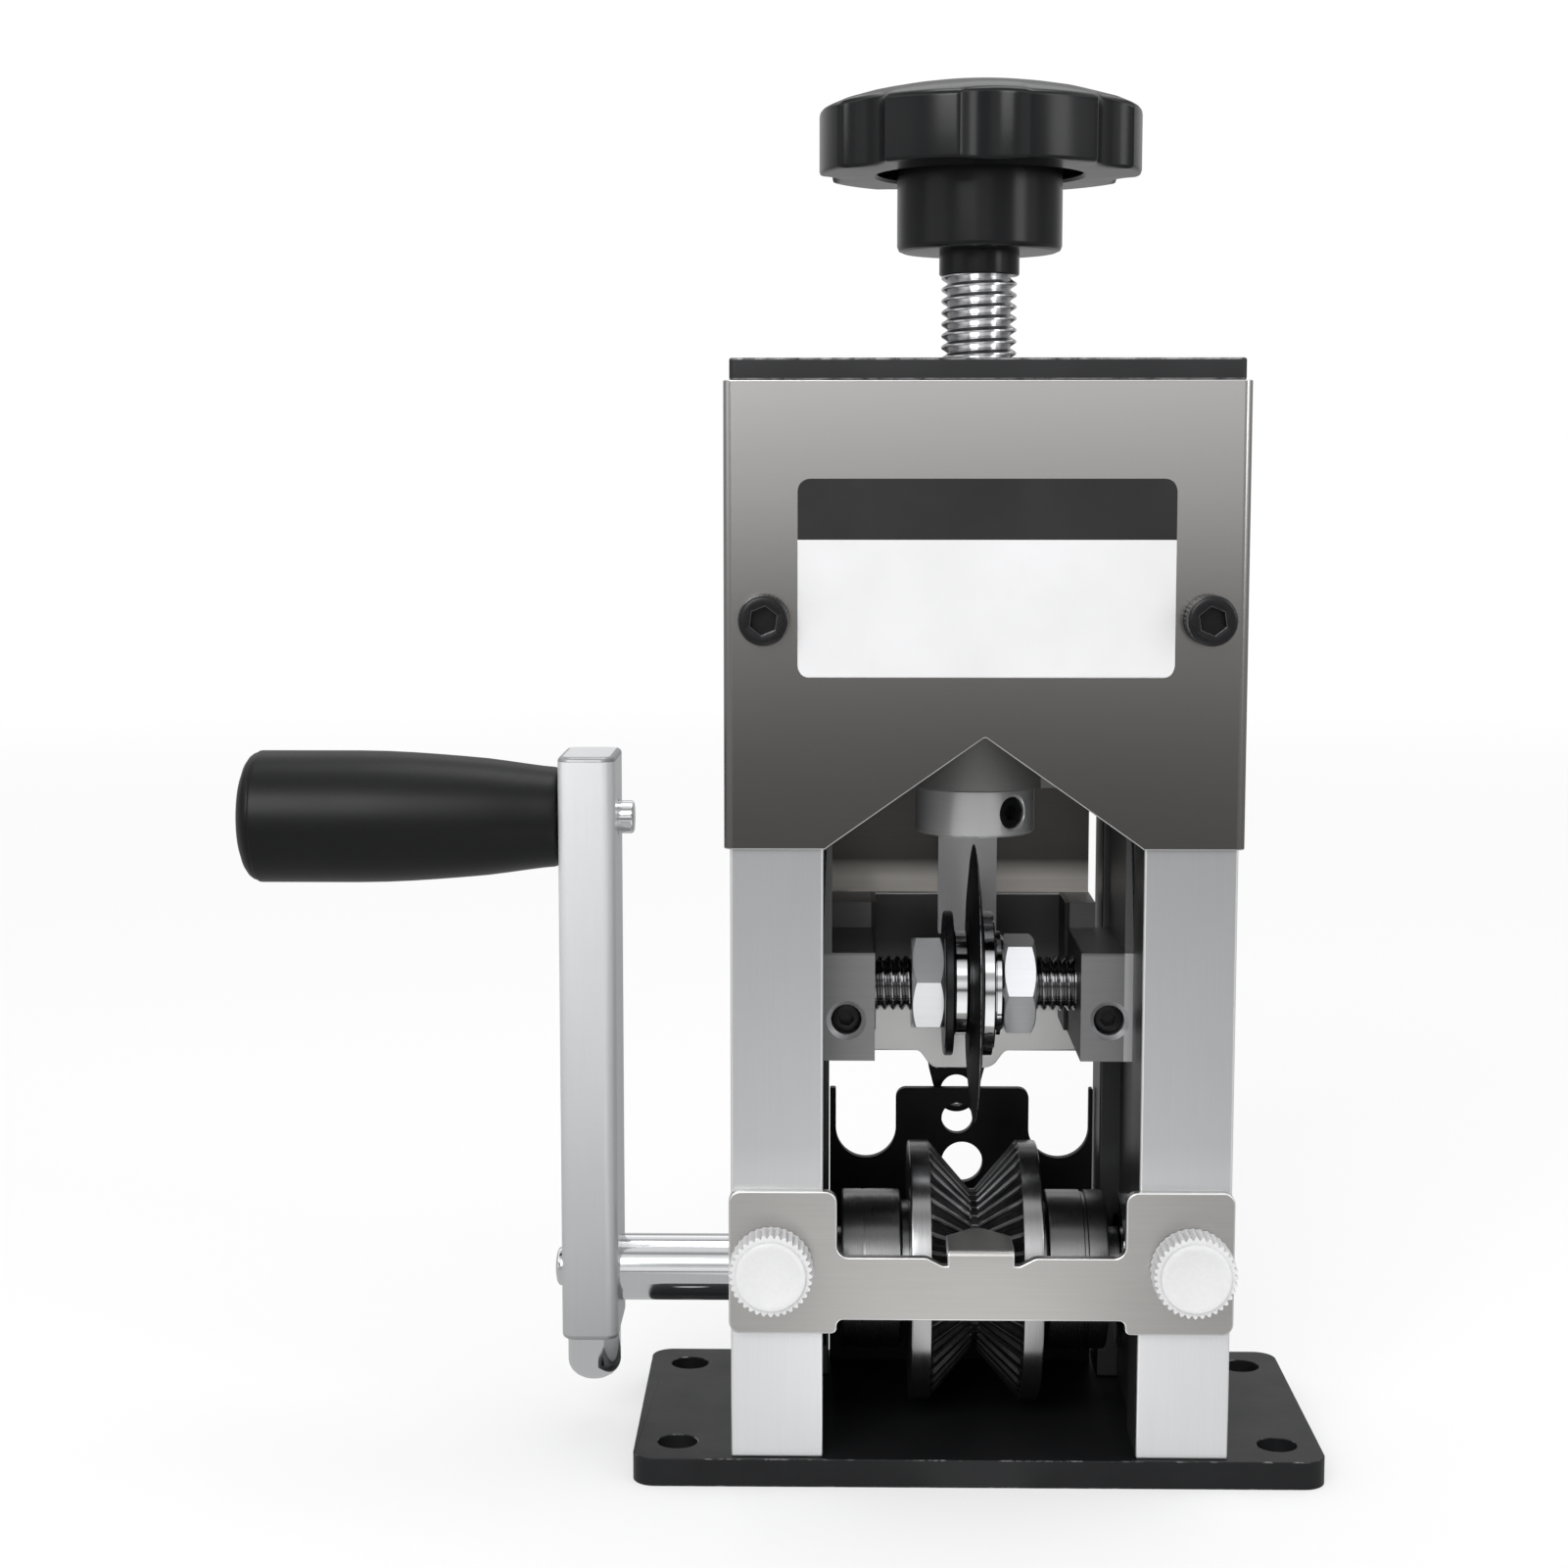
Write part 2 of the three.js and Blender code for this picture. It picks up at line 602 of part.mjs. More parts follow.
function covers() {
  const [outer, inner] = [WALL_OUT + COVER_T, WALL_OUT];
  const back = COVER_RETURN - FRONT;
  const bent = outline([
    [-outer, -COVER_FRONT, 1.6],
    [outer, -COVER_FRONT, 1.6],
    [outer, back],
    [inner, back],
    [inner, -FRONT],
    [-inner, -FRONT],
    [-inner, back],
    [-outer, back],
  ]);
  let cover = slab(UP, [0, 0, COVER_BOTTOM], bent, UPRIGHT_TOP - COVER_BOTTOM);
  const notch = outline([
    [-NOTCH_HALF - 2, -1],
    [NOTCH_HALF + 2, -1],
    [NOTCH_HALF, 0.6, 0.5],
    [0, NOTCH_H, 0.3],
    [-NOTCH_HALF, 0.6, 0.5],
  ]);
  cover = cover.subtract(slab(FORWARD, [0, -FRONT + 1, COVER_BOTTOM], notch, COVER_T + 3));
  for (const [side, s] of SIDES) {
    const at = [s * COVER_SCREW_X, -COVER_FRONT, COVER_SCREW_Z];
    cover = cover.subtract(bar(FORWARD, at, -COVER_T - 1, 1, M5_R + FIT));
    const size = { r: M5_R, length: M5_LENGTH, headR: M5_HEAD_R, headH: M5_HEAD_H, hex: M5_HEX };
    part(`cover_screw_${side}`, headed(FORWARD, at, size, ROUND), "black");
  }
  part("front_cover", cover, "steel");

  const label = rectangle(-LABEL_W / 2, LABEL_W / 2, -LABEL_H / 2, LABEL_H / 2, LABEL_CORNER);
  part("label_plate", slab(FORWARD, [0, -COVER_FRONT, LABEL_Z], label, LABEL_T), "white");

  const small = { r: SMALL_R, length: SMALL_LENGTH, headR: SMALL_HEAD_R, headH: SMALL_HEAD_H };
  const rearTop = UPRIGHT_TOP + TOP_T;
  const sheet = rectangle(-REAR_COVER_LEFT, REAR_COVER_RIGHT, REAR_COVER_BOTTOM, rearTop, 1);
  let rear = slab(FORWARD, [0, REAR + REAR_COVER_T, 0], sheet, REAR_COVER_T);
  for (const [side, s] of SIDES) {
    const at = [s * FOOT_SCREW_X, REAR + REAR_COVER_T, UPRIGHT_TOP + TOP_T / 2];
    rear = rear.subtract(bar(BACK, at, -REAR_COVER_T - 1, 1, SMALL_R + FIT, SMALL));
    part(`rear_cover_screw_${side}`, headed(BACK, at, small), "dark");
  }
  part("rear_cover", rear, "steel");
}

function rearGuide() {
  const half = RAIL_RIGHT - SLIDE - REAR_MIDDLE;
  const edge = REAR_TONGUE_HALF + REAR_NOTCH_W;
  const r = REAR_NOTCH_W / 2 - 0.01;
  const right = [
    [half, BASE_T, 0],
    [half, REAR_GUIDE_TOP, 0.3],
    [edge, REAR_GUIDE_TOP, 0.3],
    [edge, REAR_NOTCH_BOTTOM, r],
    [REAR_TONGUE_HALF, REAR_NOTCH_BOTTOM, r],
    [REAR_TONGUE_HALF, REAR_GUIDE_TOP, 1.5],
  ];
  const left = right.map(([x, z, round]) => [-x, z, round]).reverse();
  const shape = outline([...right, ...left]);
  const back = REAR_GUIDE_BACK;
  let plate = slab(FORWARD, [REAR_MIDDLE, back, 0], shape, REAR_GUIDE_T);
  const ends = [REAR_MIDDLE - half, REAR_MIDDLE + half];
  plate = plate.add(box(...ends, REAR_GUIDE_Y, back + REAR_FOOT, BASE_T, BASE_T + REAR_GUIDE_T));
  plate = plate
    .subtract(bar(BACK, [WIRE_X, back, WIRE_HOLE_Z], -REAR_GUIDE_T - 1, 1, WIRE_HOLE_R))
    .subtract(bar(BACK, [REAR_MIDDLE, back, LOW_HOLE_Z], -REAR_GUIDE_T - 1, 1, LOW_HOLE_R));
  const small = { r: SMALL_R, length: SMALL_LENGTH, headR: SMALL_HEAD_R, headH: SMALL_HEAD_H };
  for (const [side, s] of SIDES) {
    const at = [s * FOOT_SCREW_X, back + REAR_FOOT / 2, BASE_T + REAR_GUIDE_T];
    plate = plate.subtract(bar(UP, at, -REAR_GUIDE_T - 1, 1, SMALL_R + FIT, SMALL));
    part(`rear_guide_screw_${side}`, headed(UP, at, small), "dark");
  }
  part("rear_guide_plate", plate, "black");
}

function frontGuide() {
  const f = GUIDE_FILLET;
  const tongue = TONGUE_HALF;
  const tongueTop = BAR_TOP + TONGUE_RISE;
  const low = BAR_TOP - RELIEF_DEPTH;
  const half = [
    [LUG_IN, BAR_BOTTOM, f / 2],
    [LUG_IN, LUG_BOTTOM, f / 2],
    [GUIDE_HALF, LUG_BOTTOM, f],
    [GUIDE_HALF, LUG_TOP, f],
    [LUG_IN, LUG_TOP, f],
    [LUG_IN, BAR_TOP, f],
    [tongue + RELIEF_W, BAR_TOP, 0.3],
    [tongue + RELIEF_FOOT, low, 0.3],
  ];
  const mirrored = half.map(([x, z, r]) => [-x, z, r]).reverse();
  let plate = slab(FORWARD, [0, -FRONT, 0], outline([...half, ...mirrored]), GUIDE_T);
  // The middle of the bar is bent back towards the roller and ends in a point.
  const bend = outline([
    [-FRONT - GUIDE_T, low - 4],
    [-FRONT, low - 4],
    [-FRONT, tongueTop - GUIDE_T, 0.3],
    [-TONGUE_TIP_Y, tongueTop - GUIDE_T],
    [-TONGUE_TIP_Y, tongueTop],
    [-FRONT - GUIDE_T, tongueTop, GUIDE_T],
  ]);
  const plan = outline([
    [-tongue, -FRONT - GUIDE_T - 1],
    [tongue, -FRONT - GUIDE_T - 1],
    [tongue, -FRONT + 7.5],
    [TONGUE_TIP_HALF, -TONGUE_TIP_Y, 0.5],
    [-TONGUE_TIP_HALF, -TONGUE_TIP_Y, 0.5],
    [-tongue, -FRONT + 7.5],
  ]);
  const strip = slab(RIGHT, [-tongue, 0, 0], bend, 2 * tongue);
  plate = plate.add(strip.intersect(slab(UP, [0, 0, low - 5], plan, 10)));
  for (const [side, s] of SIDES) {
    const x = s * THUMB_X;
    const w = THUMB_STUD_R + SLIDE;
    const slot = rectangle(x - w, x + w, THUMB_Z - w - GUIDE_TRAVEL, THUMB_Z + w + GUIDE_TRAVEL, w - 0.01);
    plate = plate.subtract(slab(FORWARD, [0, -FRONT + 1, 0], slot, GUIDE_T + 2));
    const at = [x, -FRONT - GUIDE_T, THUMB_Z];
    const rows = [
      [0, THUMB_R - BREAK, 0],
      [BREAK, THUMB_R, 0.25],
      [THUMB_H - BREAK, THUMB_R, 0.25],
      [THUMB_H, THUMB_R - BREAK, 0],
    ];
    const dish = bar(FORWARD, at, THUMB_H - 0.5, THUMB_H + 1, THUMB_DISH_R);
    const stud = bar(FORWARD, at, GUIDE_T - THUMB_LENGTH, 1, THUMB_STUD_R, SMALL, BREAK);
    const wheel = ribbed(FORWARD, at, rows, THUMB_TEETH);
    part(`thumb_screw_${side}`, wheel.subtract(dish).add(stud), "white");
  }
  part("guide_plate", plate, "alloy");
}

function feedDrive() {
  const axis = [0, 0, SHAFT_Z];
  const rows = [
    [-ROLLER_HALF, ROLLER_R - BREAK, 0],
    [BREAK - ROLLER_HALF, ROLLER_R, 0],
    [-RIM_IN, ROLLER_R, 0],
    [-RIM_IN + 0.7, ROLLER_R - 0.7, TOOTH],
    [-VALLEY_HALF - 0.7, VALLEY_R + 0.7, TOOTH],
    [-VALLEY_HALF, VALLEY_R, 0],
  ];
  const other = rows.map(([h, r, rib]) => [-h, r, rib]).reverse();
  const bore = bar(RIGHT, axis, -ROLLER_HALF - 1, ROLLER_HALF + 1, SHAFT_R + FIT);
  const keyHalf = KEY_W / 2;
  const keyTop = SHAFT_Z + SHAFT_R + KEY_PROUD;
  const keyFoot = SHAFT_Z + SHAFT_R - KEY_PROUD;
  const keyway = box(
    ...[-ROLLER_HALF - 1, ROLLER_HALF + 1],
    ...[-keyHalf - FIT, keyHalf + FIT],
    ...[SHAFT_Z, keyTop + FIT],
  );
  const roller = ribbed(RIGHT, axis, [...rows, ...other], TEETH);
  part("feed_roller", roller.subtract(bore).subtract(keyway), "steel");
  part("roller_key", box(-KEY_L / 2, KEY_L / 2, -keyHalf, keyHalf, keyFoot + FIT, keyTop), "steel");

  const armBottom = SHAFT_Z - ARM_BELOW;
  const left = RUN + BUTTON_T - ARM_OUT;
  let shaft = bar(RIGHT, axis, left, SHAFT_END, SHAFT_R, ROUND, BREAK);
  shaft = shaft
    .subtract(
      box(
        ...[-KEY_L / 2 - FIT, KEY_L / 2 + FIT],
        ...[-keyHalf - FIT, keyHalf + FIT],
        ...[keyFoot, SHAFT_Z + SHAFT_R + 1],
      ),
    )
    .subtract(bar(LEFT, axis, ARM_OUT - BUTTON_LENGTH - 1, ARM_OUT, BUTTON_SHANK_R + FIT, SMALL));
  part("drive_shaft", shaft, "bright");

  for (const [side, s] of SIDES) {
    const facing = s > 0 ? RIGHT : LEFT;
    const sleeve = turned(facing, axis, [
      [ROLLER_HALF + FIT, SHAFT_R + FIT],
      [ROLLER_HALF + FIT, SLEEVE_R - 2],
      [ROLLER_HALF + 1.4, SLEEVE_R - 2],
      [ROLLER_HALF + 1.4, SLEEVE_R - BREAK],
      [ROLLER_HALF + 1.4 + BREAK, SLEEVE_R],
      [SLEEVE_END - BREAK, SLEEVE_R],
      [SLEEVE_END, SLEEVE_R - BREAK],
      [SLEEVE_END, SLEEVE_NECK_R],
      [FLANGE_X - FIT, SLEEVE_NECK_R],
      [FLANGE_X - FIT, SHAFT_R + FIT],
      [ROLLER_HALF + FIT, SHAFT_R + FIT],
    ]);
    part(`sleeve_${side}`, sleeve, "dark");
    const bearingEnd = GROOVE_X + BEARING_W;
    const innerR = SHAFT_R + FIT + BEARING_WALL;
    const inner = ring(facing, axis, FLANGE_X, bearingEnd, innerR, SHAFT_R + FIT);
    part(`bearing_inner_${side}`, inner, "bright");
    const outer = turned(
      facing,
      axis,
      [
        [FLANGE_X, BEARING_R - BEARING_WALL],
        [FLANGE_X, BEARING_FLANGE_R],
        [GROOVE_X, BEARING_FLANGE_R],
        [GROOVE_X, BEARING_R],
        [bearingEnd, BEARING_R],
        [bearingEnd, BEARING_R - BEARING_WALL],
        [FLANGE_X, BEARING_R - BEARING_WALL],
      ],
    );
    part(`bearing_outer_${side}`, outer, "bright");
  }

  // Crank arm, a bar with rounded edges that hangs on the shaft's left end.
  const section = rectangle(-ARM_OUT, -ARM_IN, -ARM_D / 2, ARM_D / 2, ARM_CORNER);
  const armH = ARM_BELOW + CRANK_R + ARM_ABOVE;
  const grip = [0, 0, GRIP_Z];
  let arm = slab(UP, [0, 0, armBottom], section, armH, ARM_CORNER * 0.6, 3);
  arm = arm
    .subtract(bar(RIGHT, axis, left - FIT, 1 - ARM_IN, SHAFT_R + FIT))
    .subtract(bar(LEFT, axis, ARM_IN, ARM_OUT + 1, BUTTON_SHANK_R + FIT, SMALL))
    .subtract(bar(UP, [-(ARM_OUT + ARM_IN) / 2, 0, 0], armBottom - 1, SHAFT_Z, CLAMP_R + FIT))
    .subtract(bar(LEFT, grip, ARM_IN - 1, ARM_OUT + 1, AXLE_R + FIT));
  part("crank_arm", arm, "bright");

  const button = {
    r: BUTTON_SHANK_R,
    length: BUTTON_LENGTH,
    headR: BUTTON_R,
    headH: BUTTON_T,
    dome: 0.8,
  };
  part("end_button", headed(LEFT, [-ARM_OUT, 0, SHAFT_Z], button), "bright");
  const clampLength = ARM_BELOW - SHAFT_R - RUN;
  const clamp = turned(DOWN, [-(ARM_OUT + ARM_IN) / 2, 0, armBottom], [
    [-clampLength, 0],
    [-clampLength, CLAMP_R - BREAK],
    [BREAK - clampLength, CLAMP_R],
    [0, CLAMP_R],
    [0, CLAMP_HEAD_R - BREAK],
    [BREAK, CLAMP_HEAD_R],
    [CLAMP_HEAD_H - 3, CLAMP_HEAD_R],
    [CLAMP_HEAD_H - 1.4, CLAMP_HEAD_R * 0.86],
    [CLAMP_HEAD_H - 0.3, CLAMP_HEAD_R * 0.5],
    [CLAMP_HEAD_H, 0],
  ]);
  part("clamp_screw", clamp, "bright");

  const axle = bar(LEFT, grip, ARM_IN - AXLE_PROUD, ARM_OUT + AXLE_DEPTH, AXLE_R, ROUND, BREAK);
  part("grip_axle", axle, "bright");
  const start = ARM_OUT + SLIDE;
  const end = ARM_OUT + GRIP_LENGTH;
  const body = turned(
    LEFT,
    grip,
    [
      [start, 0],
      [start, GRIP_NECK_R - 2 * BREAK],
      [start + BREAK, GRIP_NECK_R],
      [start + GRIP_LENGTH * 0.15, (GRIP_NECK_R + GRIP_MID_R) / 2 + 0.15],
      [start + GRIP_LENGTH * 0.31, GRIP_MID_R],
      [start + GRIP_LENGTH * 0.45, GRIP_END_R - 0.35],
      [start + GRIP_LENGTH * 0.6, GRIP_END_R],
      [end - GRIP_CAP, GRIP_END_R],
      [end - GRIP_CAP * 0.62, GRIP_END_R * 0.9],
      [end - GRIP_CAP * 0.28, GRIP_END_R * 0.72],
      [end, GRIP_END_R * 0.42],
      [end, 0],
    ],
    FINE - 6,
  );
  const gripBore = bar(LEFT, grip, ARM_OUT, ARM_OUT + AXLE_DEPTH + RUN, AXLE_R + RUN);
  part("grip", body.subtract(gripBore), "plastic");
}

function carriage() {
  const rod = [0, 0, ROD_Z];
  for (const [side, s] of SIDES) {
    const facing = s > 0 ? RIGHT : LEFT;
    let arm = box(s * LEG_IN, s * LEG_OUT, -JAW_HALF_Y, JAW_HALF_Y, JAW_BOTTOM, CROSS_TOP);
    arm = arm.add(box(s * JAW_IN, s * LEG_OUT, -JAW_HALF_Y, JAW_HALF_Y, JAW_BOTTOM, JAW_TOP));
    arm = arm.add(
      box(
        ...[s * BRACKET_IN, s * BRACKET_OUT],
        ...[JAW_HALF_Y - 1, CARRIAGE_PLATE_Y],
        ...[JAW_BOTTOM, ROD_Z + BRACKET_ABOVE],
      ),
    );
    const screwAt = [s * JAW_SCREW_X, -JAW_HALF_Y + JAW_SCREW_SUNK, ROD_Z - JAW_SCREW_BELOW];
    const plateAt = [s * BRACKET_X, CARRIAGE_PLATE_BACK, ROD_Z - CARRIAGE_SCREW_BELOW];
    arm = arm
      .subtract(bar(facing, rod, JAW_IN - 2, ROD_END + RUN, ROD_R + FIT, ROUND))
      .subtract(bar(FORWARD, screwAt, -JAW_SCREW_LENGTH - FIT, 5, JAW_SCREW_R + FIT, SMALL))
      .subtract(bar(BACK, plateAt, -SMALL_LENGTH - 1, 1, SMALL_R + FIT, SMALL));
    part(`carriage_side_${side}`, arm, "alloy");
    const screw = headless(FORWARD, screwAt, JAW_SCREW_R, JAW_SCREW_LENGTH, JAW_SCREW_R);
    part(`jaw_screw_${side}`, screw, "dark");
    const small = { r: SMALL_R, length: SMALL_LENGTH, headR: SMALL_HEAD_R, headH: SMALL_HEAD_H };
    part(`carriage_plate_screw_${side}`, headed(BACK, plateAt, small), "dark");
  }

  const beam = box(-LEG_IN, LEG_IN, -CROSS_HALF_Y, CROSS_HALF_Y, CROSS_BOTTOM, CROSS_TOP);
  const boss = bar(UP, [0, 0, 0], CROSS_BOTTOM, CROSS_TOP, JAW_HALF_Y, FINE, BREAK);
  const tail = box(-STRIP_HALF, STRIP_HALF, 0, STRIP_Y, CROSS_BOTTOM, CROSS_TOP);
  const journal = bar(UP, [0, 0, 0], CROSS_BOTTOM - 1, CROSS_TOP + 1, JOURNAL_R + RUN);
  part("cross_head", beam.add(boss).add(tail).subtract(journal), "alloy");

  const strip = rectangle(-STRIP_HALF, STRIP_HALF, STRIP_BOTTOM, CROSS_TOP, BREAK);
  part("presser_strip", slab(FORWARD, [0, CARRIAGE_PLATE_Y, 0], strip, STRIP_T), "alloy");

  const plate = outline([
    [-BRACKET_OUT, CARRIAGE_PLATE_BOTTOM, 0.5],
    [REAR_MIDDLE - TAB_HALF, CARRIAGE_PLATE_BOTTOM],
    [REAR_MIDDLE - TAB_TIP_HALF, CARRIAGE_PLATE_BOTTOM - TAB_H, 1],
    [REAR_MIDDLE + TAB_TIP_HALF, CARRIAGE_PLATE_BOTTOM - TAB_H, 1],
    [REAR_MIDDLE + TAB_HALF, CARRIAGE_PLATE_BOTTOM],
    [BRACKET_OUT, CARRIAGE_PLATE_BOTTOM, 0.5],
    [BRACKET_OUT, CARRIAGE_PLATE_TOP, 0.5],
    [-BRACKET_OUT, CARRIAGE_PLATE_TOP, 0.5],
  ]);
  let rear = slab(FORWARD, [0, CARRIAGE_PLATE_BACK, 0], plate, CARRIAGE_PLATE_T);
  for (const [, s] of SIDES) {
    const at = [s * BRACKET_X, CARRIAGE_PLATE_BACK, ROD_Z - CARRIAGE_SCREW_BELOW];
    rear = rear.subtract(bar(BACK, at, -CARRIAGE_PLATE_T - 1, 1, SMALL_R + FIT, SMALL));
  }
  part("carriage_plate", rear, "alloy");

  // Wire shoe behind the plate: it narrows to an eye for the wire.
  const shape = outline([
    [-SHOE_HALF, SHOE_TOP, 1],
    [-SHOE_HALF, CARRIAGE_PLATE_BOTTOM - TAB_H, 0.5],
    [-EYE_R, EYE_Z, 0],
    [EYE_R, EYE_Z, 0],
    [SHOE_HALF, CARRIAGE_PLATE_BOTTOM - TAB_H, 0.5],
    [SHOE_HALF, SHOE_TOP, 1],
  ]);
  const shoeBack = CARRIAGE_PLATE_BACK + SHOE_T;
  const eye = [WIRE_X, shoeBack, EYE_Z];
  const shoe = slab(FORWARD, [WIRE_X, shoeBack, 0], shape, SHOE_T)
    .add(bar(BACK, eye, -SHOE_T, 0, EYE_R))
    .subtract(bar(BACK, eye, -SHOE_T - 1, 1, EYE_HOLE_R));
  part("wire_shoe", shoe, "black");
}

function blade() {
  const rod = [0, 0, ROD_Z];
  const nutLeft = HUB_HALF + RING_T + WASHER_LEFT_T;
  const nutRight = HUB_HALF + RING_T + WASHER_RIGHT_T;
  const hole = ROD_R + FIT;
  const core = bar(RIGHT, rod, -JAW_IN, JAW_IN, ROD_ROOT_R - BREAK, SMALL);
  const inNuts = bar(RIGHT, rod, -nutLeft - NUT_T - 0.3, nutRight + NUT_T + 0.3, ROD_R, THREAD_STEPS);
  const ends = [-1, 1].map((s) =>
    bar(RIGHT, rod, ...[s * (JAW_IN - 0.2), s * ROD_END].sort((a, b) => a - b), ROD_R, THREAD_STEPS),
  );
  const threads = [
    thread(RIGHT, rod, 0.2 - JAW_IN, -nutLeft - NUT_T, ROD_R, ROD_ROOT_R, ROD_PITCH, THREAD_STEPS),
    thread(RIGHT, rod, nutRight + NUT_T, JAW_IN - 0.2, ROD_R, ROD_ROOT_R, ROD_PITCH, THREAD_STEPS),
  ];
  const whole = [inNuts, ...ends, ...threads].reduce((all, piece) => all.add(piece), core);
  part("blade_rod", whole, "steel");

  for (const [side, s, start, turn] of [
    ["left", -1, nutLeft, NUT_TURN_LEFT],
    ["right", 1, nutRight, NUT_TURN_RIGHT],
  ]) {
    const facing = s > 0 ? RIGHT : LEFT;
    const corner = NUT_AF / Math.sqrt(3);
    const hex = slab(facing, [s * start, 0, ROD_Z], hexagon(NUT_AF, (turn * Math.PI) / 180), NUT_T);
    const cone = turned(facing, rod, [
      [start, 0],
      [start, NUT_AF / 2],
      [start + (corner - NUT_AF / 2) * 0.6, corner + 0.02],
      [start + NUT_T - (corner - NUT_AF / 2) * 0.6, corner + 0.02],
      [start + NUT_T, NUT_AF / 2],
      [start + NUT_T, 0],
    ]);
    const nut = hex.intersect(cone).subtract(bar(facing, rod, start - 1, start + NUT_T + 1, hole));
    part(`rod_nut_${side}`, nut, "bright");
  }

  const washerLeft = ring(LEFT, rod, nutLeft - WASHER_LEFT_T, nutLeft, WASHER_R, hole, FINE);
  part("washer_left", washerLeft, "black");
  part("ring_left", ring(LEFT, rod, HUB_HALF, HUB_HALF + RING_T, RING_R, hole), "bright");
  const washerRight = ring(RIGHT, rod, HUB_HALF, HUB_HALF + WASHER_RIGHT_T, WASHER_R, hole, FINE);
  part("washer_right", washerRight, "black");
  const ringRight = ring(RIGHT, rod, nutRight - RING_T, nutRight, RING_R, hole);
  part("ring_right", ringRight, "bright");
  part("blade_bush", ring(RIGHT, rod, -HUB_HALF, HUB_HALF, BUSH_R, hole), "steel");

  const bevel = [
    [BLADE_HALF, BUSH_R + RUN],
    [BLADE_HALF, BLADE_HUB_R],
    [BLADE_HALF * 0.72, BLADE_HUB_R + (BLADE_R - BLADE_HUB_R) * 0.48],
    [0.1, BLADE_R],
  ];
  const far = bevel.map(([h, r]) => [-h, r]).reverse();
  part("cutter_blade", turned(RIGHT, rod, [...bevel, ...far, bevel[0]], FINE), "black");
}

function adjusting() {
  const axis = [0, 0, 0];
  const collarTop = CROSS_BOTTOM - SLIDE;
  const collarFoot = collarTop - COLLAR_H;
  const shoulder = CROSS_TOP + SLIDE;
  const shank = turned(UP, axis, [
    [collarFoot, 0],
    [collarFoot, JOURNAL_R - BREAK],
    [collarFoot + BREAK, JOURNAL_R],
    [shoulder, JOURNAL_R],
    [shoulder, SHOULDER_R],
    [shoulder + SHOULDER_H, SHOULDER_R],
    [shoulder + SHOULDER_H, SCREW_ROOT_R],
    [THREAD_BOTTOM + 1, SCREW_ROOT_R - BREAK],
    [THREAD_BOTTOM + 1, JOURNAL_R],
    [THREAD_TOP + STUB_H, JOURNAL_R],
    [THREAD_TOP + STUB_H, 0],
  ]);
  const wound = thread(UP, axis, THREAD_BOTTOM, THREAD_TOP, SCREW_R, SCREW_ROOT_R, SCREW_PITCH, THREAD_STEPS);
  part("adjusting_screw", shank.add(wound), "bright");

  const turn = new THREE.Matrix4().makeRotationZ((GRUB_TURN * Math.PI) / 180).multiply(FORWARD);
  const grubZ = collarFoot + COLLAR_H / 2;
  const out = new THREE.Vector3(0, 0, 1).applyMatrix4(turn).multiplyScalar(COLLAR_R - GRUB_SUNK);
  const grubAt = [out.x, out.y, grubZ];
  const grubLength = COLLAR_R - GRUB_SUNK - JOURNAL_R - RUN;
  const collar = ring(UP, axis, collarFoot, collarTop, COLLAR_R, JOURNAL_R + FIT, FINE, BREAK);
  const drilled = collar.subtract(bar(turn, grubAt, -grubLength - 1, 4, GRUB_R + FIT, SMALL));
  part("collar", drilled, "alloy");
  part("collar_screw", headless(turn, grubAt, GRUB_R, grubLength, GRUB_R), "dark");

  // Star knob: a scalloped disc under a dome, with a hub and a plain neck.
  const corners = [];
  const reach = KNOB_R - SCALLOP_DEPTH + SCALLOP_R;
  const steps = 10;
  for (let i = 0; i < KNOB_LOBES * steps; i++) {
    const a = (2 * Math.PI * i) / (KNOB_LOBES * steps);
    const fromScallop = ((i + steps / 2) % steps) - steps / 2;
    const b = (2 * Math.PI * fromScallop) / (KNOB_LOBES * steps);
    const inside = SCALLOP_R ** 2 - (reach * Math.sin(b)) ** 2;
    const r = inside > 0 ? Math.min(KNOB_R, reach * Math.cos(b) - Math.sqrt(inside)) : KNOB_R;
    const turnBy = a + (KNOB_FIRST * Math.PI) / 180;
    corners.push([r * Math.cos(turnBy), r * Math.sin(turnBy)]);
  }
  const star = slab(UP, [0, 0, KNOB_BOTTOM], outline(corners), KNOB_TOP - KNOB_BOTTOM + 1);
  const dome = turned(
    UP,
    axis,
    [
      [KNOB_BOTTOM - 1, 0],
      [KNOB_BOTTOM - 1, KNOB_R + 1],
      [KNOB_EDGE - 1, KNOB_R + 1],
      [KNOB_EDGE, KNOB_R - 0.3],
      [KNOB_EDGE + (KNOB_TOP - KNOB_EDGE) * 0.48, KNOB_R * 0.74],
      [KNOB_EDGE + (KNOB_TOP - KNOB_EDGE) * 0.84, KNOB_R * 0.44],
      [KNOB_EDGE + (KNOB_TOP - KNOB_EDGE) * 0.98, KNOB_R * 0.18],
      [KNOB_TOP, 0],
    ],
    FINE,
  );
  const hubFoot = THREAD_TOP + NECK_H;
  const recess = bar(UP, axis, KNOB_BOTTOM - 1, KNOB_BOTTOM + KNOB_RECESS_H, KNOB_RECESS_R, FINE);
  const hub = bar(UP, axis, hubFoot, KNOB_BOTTOM + KNOB_RECESS_H + 1, HUB_R, FINE, BREAK);
  const neck = bar(UP, axis, THREAD_TOP, hubFoot + 1, NECK_R);
  const socket = bar(UP, axis, THREAD_TOP - 1, THREAD_TOP + STUB_H + FIT, JOURNAL_R + FIT);
  const knob = star.intersect(dome).subtract(recess).add(hub).add(neck).subtract(socket);
  part("star_knob", knob, "plastic");
}

baseAndUprights();
covers();
rearGuide();
frontGuide();
feedDrive();
carriage();
blade();
adjusting();

